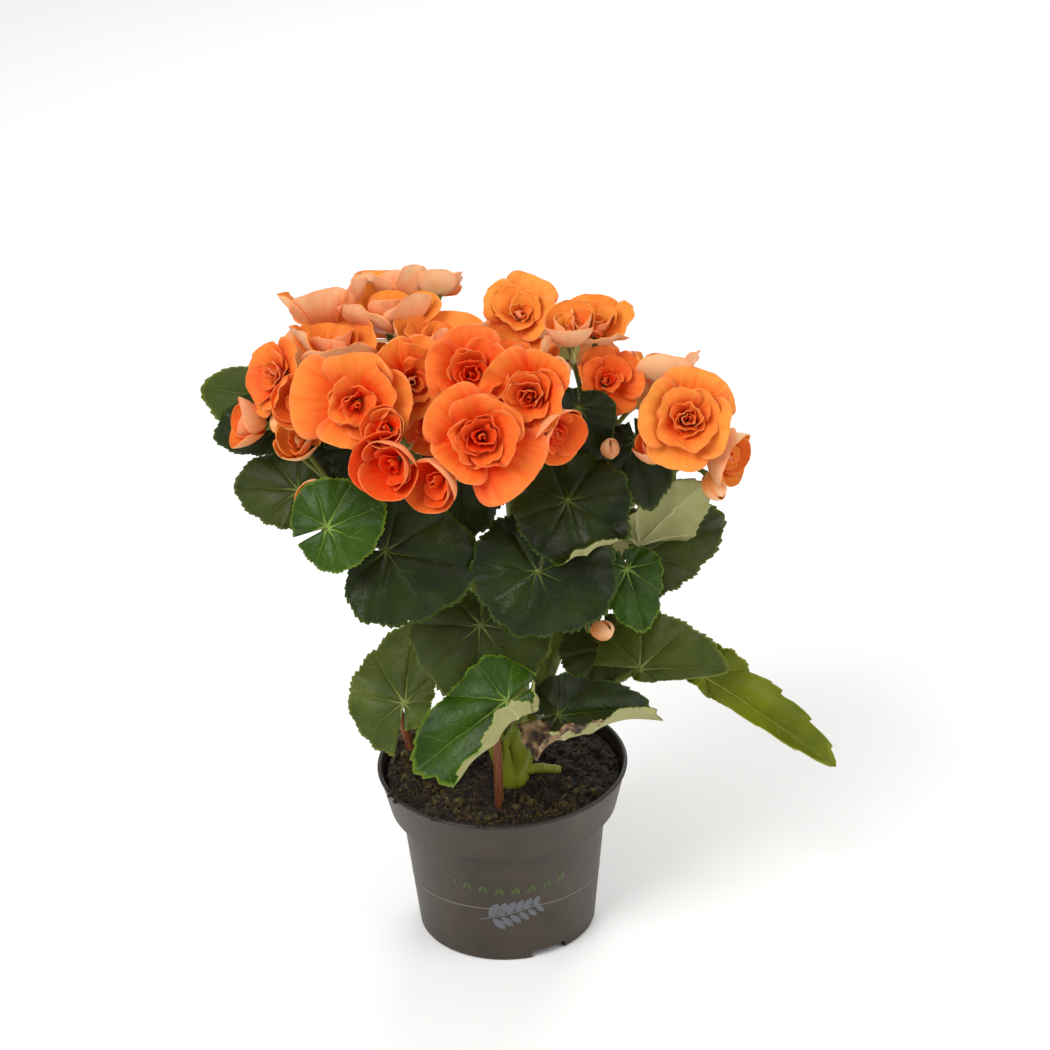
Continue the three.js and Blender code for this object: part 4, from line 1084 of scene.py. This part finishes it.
def print_pot(line_ink, green_ink, grey_ink):
    """The plain print round the pot: a thin line, a row of leaf marks and a sprig."""
    line = start_mesh()
    sheet(line, 90, 1, lambda u, v: on_wall(
        (2 * u - 1) * PRINT_LINE["half"],
        PRINT_LINE["z"] + PRINT_LINE["width"] * v - PRINT_LINE["sag"] * (2 * u - 1) ** 2))
    piece("pot_print_line", line, [line_ink, line_ink], thickness=INK)
    marks = start_mesh()
    for i in range(PRINT_MARKS["count"]):
        x = PRINT_MARKS["left"] + PRINT_MARKS["pitch"] * i
        z = PRINT_MARKS["z"] + 0.0042 * (x - 3) ** 2
        print_leaf(marks, x, z, 5.2, 1.9, 28 if i % 2 else -14)
    piece("pot_print_marks", marks, [green_ink, green_ink], thickness=INK)
    sprig = start_mesh()
    for i in range(SPRIG["leaves"]):
        x = SPRIG["left"] + SPRIG["pitch"] * i
        z = SPRIG["z"] + SPRIG["rise"] * i
        print_leaf(sprig, x, z, 11 - 0.7 * i, 5.2 - 0.3 * i, 24)
        print_leaf(sprig, x + 1.5, z, 9.5 - 0.7 * i, 4.6 - 0.3 * i, 138)
    sheet(sprig, 24, 1, lambda u, v: on_wall(-14 + 32 * u, 26.6 + 8.4 * u + 0.8 * v))
    piece("pot_print_sprig", sprig, [grey_ink, grey_ink], thickness=INK)


def soil_height(x, y):
    """The top of the peat: lumpy, heaped at the back left, and crumbly all over."""
    lumps = 1.1 * math.sin(x * 0.21 + 1) * math.sin(y * 0.19 + 2)
    lumps += 0.7 * math.sin(x * 0.43 + y * 0.31)
    middle_x, middle_y, height, spread = HEAP
    heap = height * math.exp(-((x - middle_x) ** 2 + (y - middle_y) ** 2) / spread)
    fine = 1.8 * noise.fractal(Vector((x / 6, y / 6, 3)), 0.8, 2.0, 5)
    return SOIL_LEVEL + lumps + heap + fine


def fill_soil(dark):
    """The peat as one closed body, its top finely broken."""
    mesh = start_mesh()
    wall = [(0, SOIL_FOOT), (wall_radius(SOIL_FOOT) - 2.2, SOIL_FOOT),
            (BODY_TOP_RADIUS - 2, BAND_FOOT + 2), (BAND_FOOT_RADIUS - 2.2, BAND_FOOT + 4),
            (SOIL_RADIUS, SOIL_LEVEL - 1)]
    inward = SOIL_ROWS - len(wall) + 1

    def place(u, v):
        k = round(v * SOIL_ROWS)
        angle = 2 * math.pi * u
        if k < len(wall):
            radius, z = wall[k]
            return Vector((radius * math.cos(angle), radius * math.sin(angle), z))
        radius = SOIL_RADIUS * (1 - (k - len(wall) + 1) / inward)
        x = radius * math.cos(angle)
        y = radius * math.sin(angle)
        edge = min(1, (SOIL_RADIUS - radius) / 8 + 0.35)
        return Vector((x, y, SOIL_LEVEL + edge * (soil_height(x, y) - SOIL_LEVEL)))

    sheet(mesh, SOIL_COLUMNS, SOIL_ROWS, place)
    piece("soil_peat", mesh, [dark], ["soil"])


def scatter(spread, count):
    """Seeded places on the soil, clear of the crown."""
    found = []
    while len(found) < count:
        x, y = spread()
        clear = math.hypot(x - CROWN[0], y - CROWN[1]) > CROWN[2]
        if clear and math.hypot(x, y) < SOIL_RADIUS - 1:
            found.append(Vector((x, y, soil_height(x, y))))
    return found


def heap_lumps(mesh, places, kind, rng):
    """Rough lumps of one kind, their sizes and shapes drawn, seated at the places."""
    for spot in places:
        size = rng.uniform(*kind["size"])
        turn = Matrix.Rotation(rng.uniform(0, 6.28), 4, (rng.random(), 1, rng.random()))
        shape = Matrix.Diagonal((size, size * rng.uniform(0.6, 1), size * rng.uniform(0.4, 0.9), 1))
        bmesh.ops.create_icosphere(mesh, subdivisions=kind["finer"], radius=1,
                                   matrix=Matrix.Translation(spot) @ turn @ shape)
    for vert in mesh.verts:
        vert.co += kind["rough"] * noise.noise_vector(vert.co / (3.6 * kind["rough"]))


def lay_crumbs(dark, brown, mossy, tan, green):
    """Crumbs, clods, fibres and moss on the peat, with a few crumbs over the rim. The draws and
    the noise that roughens the lumps are both seeded, so they lie alike in every run."""
    rng = random.Random(7)
    noise.seed_set(7)

    def anywhere():
        return rng.uniform(-61, 61), rng.uniform(-61, 61)

    def among(beds, count):
        """Places drawn about the middles of the beds."""
        found = []
        for x, y, spread in beds:
            found += scatter(lambda x=x, y=y, spread=spread: (
                rng.gauss(x, 0.8 * spread), rng.gauss(y, 0.6 * spread)), count)
        return found

    over_rim = []
    for azimuth, spread, count in SPILLS:
        for _ in range(count):
            out = rng.uniform(-4, 1.6)
            spot = direction(azimuth + rng.gauss(0, spread), 0) * (RIM_RADIUS + out)
            spot.z = POT_HEIGHT + rng.uniform(-0.4, 0.7) - 1.2 * max(0, out)
            over_rim.append(spot)
    crumbs = start_mesh()
    places = scatter(anywhere, CRUMBS["count"]) + over_rim
    heap_lumps(crumbs, places, CRUMBS, rng)
    piece("soil_crumbs_dark", crumbs, [dark])
    bits = start_mesh()
    places = scatter(anywhere, BITS["count"]) + among(MOSS_BEDS, BITS["in_moss"])
    heap_lumps(bits, places, BITS, rng)
    piece("soil_crumbs_brown", bits, [brown])
    clods = start_mesh()
    heap_lumps(clods, among(CLOD_BEDS, CLODS["in_bed"]), CLODS, rng)
    piece("soil_clods", clods, [mossy])
    fibres = start_mesh()
    for spot in scatter(anywhere, FIBRES["count"]):
        heading = Vector((rng.gauss(0, 1), rng.gauss(0, 1), rng.uniform(-0.1, 0.35))).normalized()
        side = Vector((-heading.y, heading.x, 0)) * rng.uniform(-2.5, 2.5)
        length = rng.uniform(*FIBRES["length"])
        centres = [spot + Vector((0, 0, 0.4)) + heading * length * t + side * t * (1 - t)
                   for t in (0, 0.35, 0.7, 1)]
        tube(fibres, centres, [rng.uniform(*FIBRES["radius"])] * 4, 4)
    piece("soil_fibres", fibres, [tan])
    moss = start_mesh()
    for spot in among(MOSS_BEDS, MOSS["in_bed"]):
        lean = Vector((rng.gauss(0, 0.9), rng.gauss(0, 0.9), 1)).normalized()
        length = rng.uniform(*MOSS["length"])
        centres = [spot - Vector((0, 0, 0.3)) + lean * length * t for t in (0, 0.5, 1)]
        tube(moss, centres, MOSS["radii"], 4)
    piece("soil_moss", moss, [green])


def cut_stakes(wood):
    """Each stake a dowel with eased ends."""
    for name, (foot, top) in STAKES.items():
        mesh = start_mesh()
        foot = Vector(foot)
        span = Vector(top) - foot
        parts = [0, 0.004] + [i / 12 for i in range(1, 12)] + [0.996, 1]
        radii = [STAKE_RADIUS - 0.5] + [STAKE_RADIUS - 0.05] * (len(parts) - 2)
        tube(mesh, [foot + span * t for t in parts], radii + [STAKE_RADIUS - 0.5], 24)
        piece(name + "_dowel", mesh, [wood], [name], sharp=50)


# The stage

# In metres: each softbox's place, size and power, then the camera with its angles in degrees and
# its focal length as a share of the picture's width
ROOM_LIGHT = 0.42
SOFTBOXES = (((-0.9, -1.0, 1.6), 1.1, 27), ((1.3, -0.7, 1.0), 1.2, 10), ((0.3, 1.2, 1.3), 1.0, 12))
CAMERA = {"elevation": 28.247, "roll": -1.885, "distance": 2.0, "aim": (0.015806, 0, 0.23187),
          "focal": 3976.3 / 1050, "sensor": 36}


def set_stage():
    """A pale floor, soft studio light, and the camera at the photograph's viewing angle."""
    floor = bmesh.new()
    bmesh.ops.create_grid(floor, x_segments=1, y_segments=1, size=6,
                          matrix=Matrix.Translation((0, 0, -0.0002)))
    data = bpy.data.meshes.new("floor")
    floor.to_mesh(data)
    floor.free()
    data.materials.append(surface("studio floor paper", Base_Color="#FDFDFC", Roughness=0.9)[0])
    ground = bpy.data.objects.new("floor", data)
    bpy.context.scene.collection.objects.link(ground)
    world = bpy.data.worlds.new("studio")
    world.use_nodes = True
    feed(world.node_tree.nodes["Background"], {"Color": "#FFFFFF", "Strength": ROOM_LIGHT})
    bpy.context.scene.world = world
    for place, size, power in SOFTBOXES:
        light = bpy.data.lights.new("softbox", "AREA")
        light.shape = "SQUARE"
        light.size = size
        light.energy = power
        lamp = bpy.data.objects.new("softbox", light)
        lamp.location = place
        aim = Vector((0, 0, 0.2)) - Vector(place)
        lamp.rotation_euler = aim.to_track_quat("-Z", "Y").to_euler()
        bpy.context.scene.collection.objects.link(lamp)
    bpy.context.scene.view_settings.view_transform = "Standard"


def set_camera():
    """The photograph looks down a little, with a slight roll."""
    elevation = math.radians(CAMERA["elevation"])
    roll = math.radians(CAMERA["roll"])
    forward = Vector((0, math.cos(elevation), -math.sin(elevation)))
    right = Vector((1, 0, 0))
    up = right.cross(forward)
    side = right * math.cos(roll) + up * math.sin(roll)
    top = up * math.cos(roll) - right * math.sin(roll)
    data = bpy.data.cameras.new("camera")
    data.sensor_width = CAMERA["sensor"]
    data.lens = CAMERA["focal"] * CAMERA["sensor"]
    camera = bpy.data.objects.new("camera", data)
    rotation = Matrix((side, top, -forward)).transposed()
    place = Vector(CAMERA["aim"]) - forward * CAMERA["distance"]
    camera.matrix_world = Matrix.Translation(place) @ rotation.to_4x4()
    bpy.context.scene.collection.objects.link(camera)
    bpy.context.scene.camera = camera


def main():
    set_camera()
    upper = {
        "dark": leaf_upper("begonia leaf, old", "#101900", "#253003", "#44580A", "#4E5C1E", 0.38,
                           0.12),
        "fresh": leaf_upper("begonia leaf, young", "#1A3400", "#335004", "#6C8818", "#7E9840",
                            0.4, 0.3),
        "lime": leaf_upper("begonia leaf, pale", "#525C00", "#6C7402", "#868E1A", "#9CA446", 0.44,
                           0.3),
        "dull": leaf_upper("begonia leaf, grey", "#262F06", "#3A450E", "#5C6A18", "#6C773E", 0.44,
                           0.18),
        "olive": leaf_upper("begonia leaf, olive", "#36420A", "#4E5A1A", "#707C22", "#828C4A", 0.46,
                            0.25),
    }
    under = leaf_under("begonia leaf underside", "#9E9C66", "#BCBA8E", "#86824A")
    front = petal_face("begonia petal, face", "#E61E00", "#EA4000", "#F29C40", "#F08C10",
                       "#F49458", 0.12)
    back = petal_face("begonia petal, back", "#F06C1E", "#F28C38", "#F6C898", "#BEC670",
                      "#F28852", 0.3)
    wing = plain("begonia seed wing", "#B0B468", 0.5, 5)
    skin = stem_skin("begonia stem flesh", [(0.3, "#44520E"), (0.5, "#5E6A1A"),
                                            (0.66, "#767A2A"), (0.8, "#8A6A32")])
    grow_leaves(upper, under, dead_leaf("dried begonia leaf"))
    grow_sprays(front, back, skin, wing)
    grow_stems(skin)
    turn_pot(moulded_pot())
    print_pot(plain("pale pad-print ink", "#7C746A", 0.5, 3),
              plain("green pad-print ink", "#3E4E1E", 0.5, 3),
              plain("grey pad-print ink", "#5C5D62", 0.5, 3))
    dark = peat("moist peat", [(0.35, "#070402"), (0.52, "#170F06"), (0.66, "#463014")], 4)
    fill_soil(dark)
    lay_crumbs(peat("peat crumbs, dark", [(0.3, "#0A0603"), (0.7, "#3A2812")], 2),
               peat("peat crumbs, brown", [(0.3, "#3A2814"), (0.7, "#785A30")], 2),
               peat("peat clods, mossy", [(0.36, "#0E0903"), (0.5, "#2C220E"),
                                          (0.64, "#6C5E26")], 3),
               plain("coir fibre", "#5E4426", 0.8, 3), plain("young moss", "#6A6022", 0.7, 2))
    cut_stakes(stained_dowel())
    set_stage()


main()
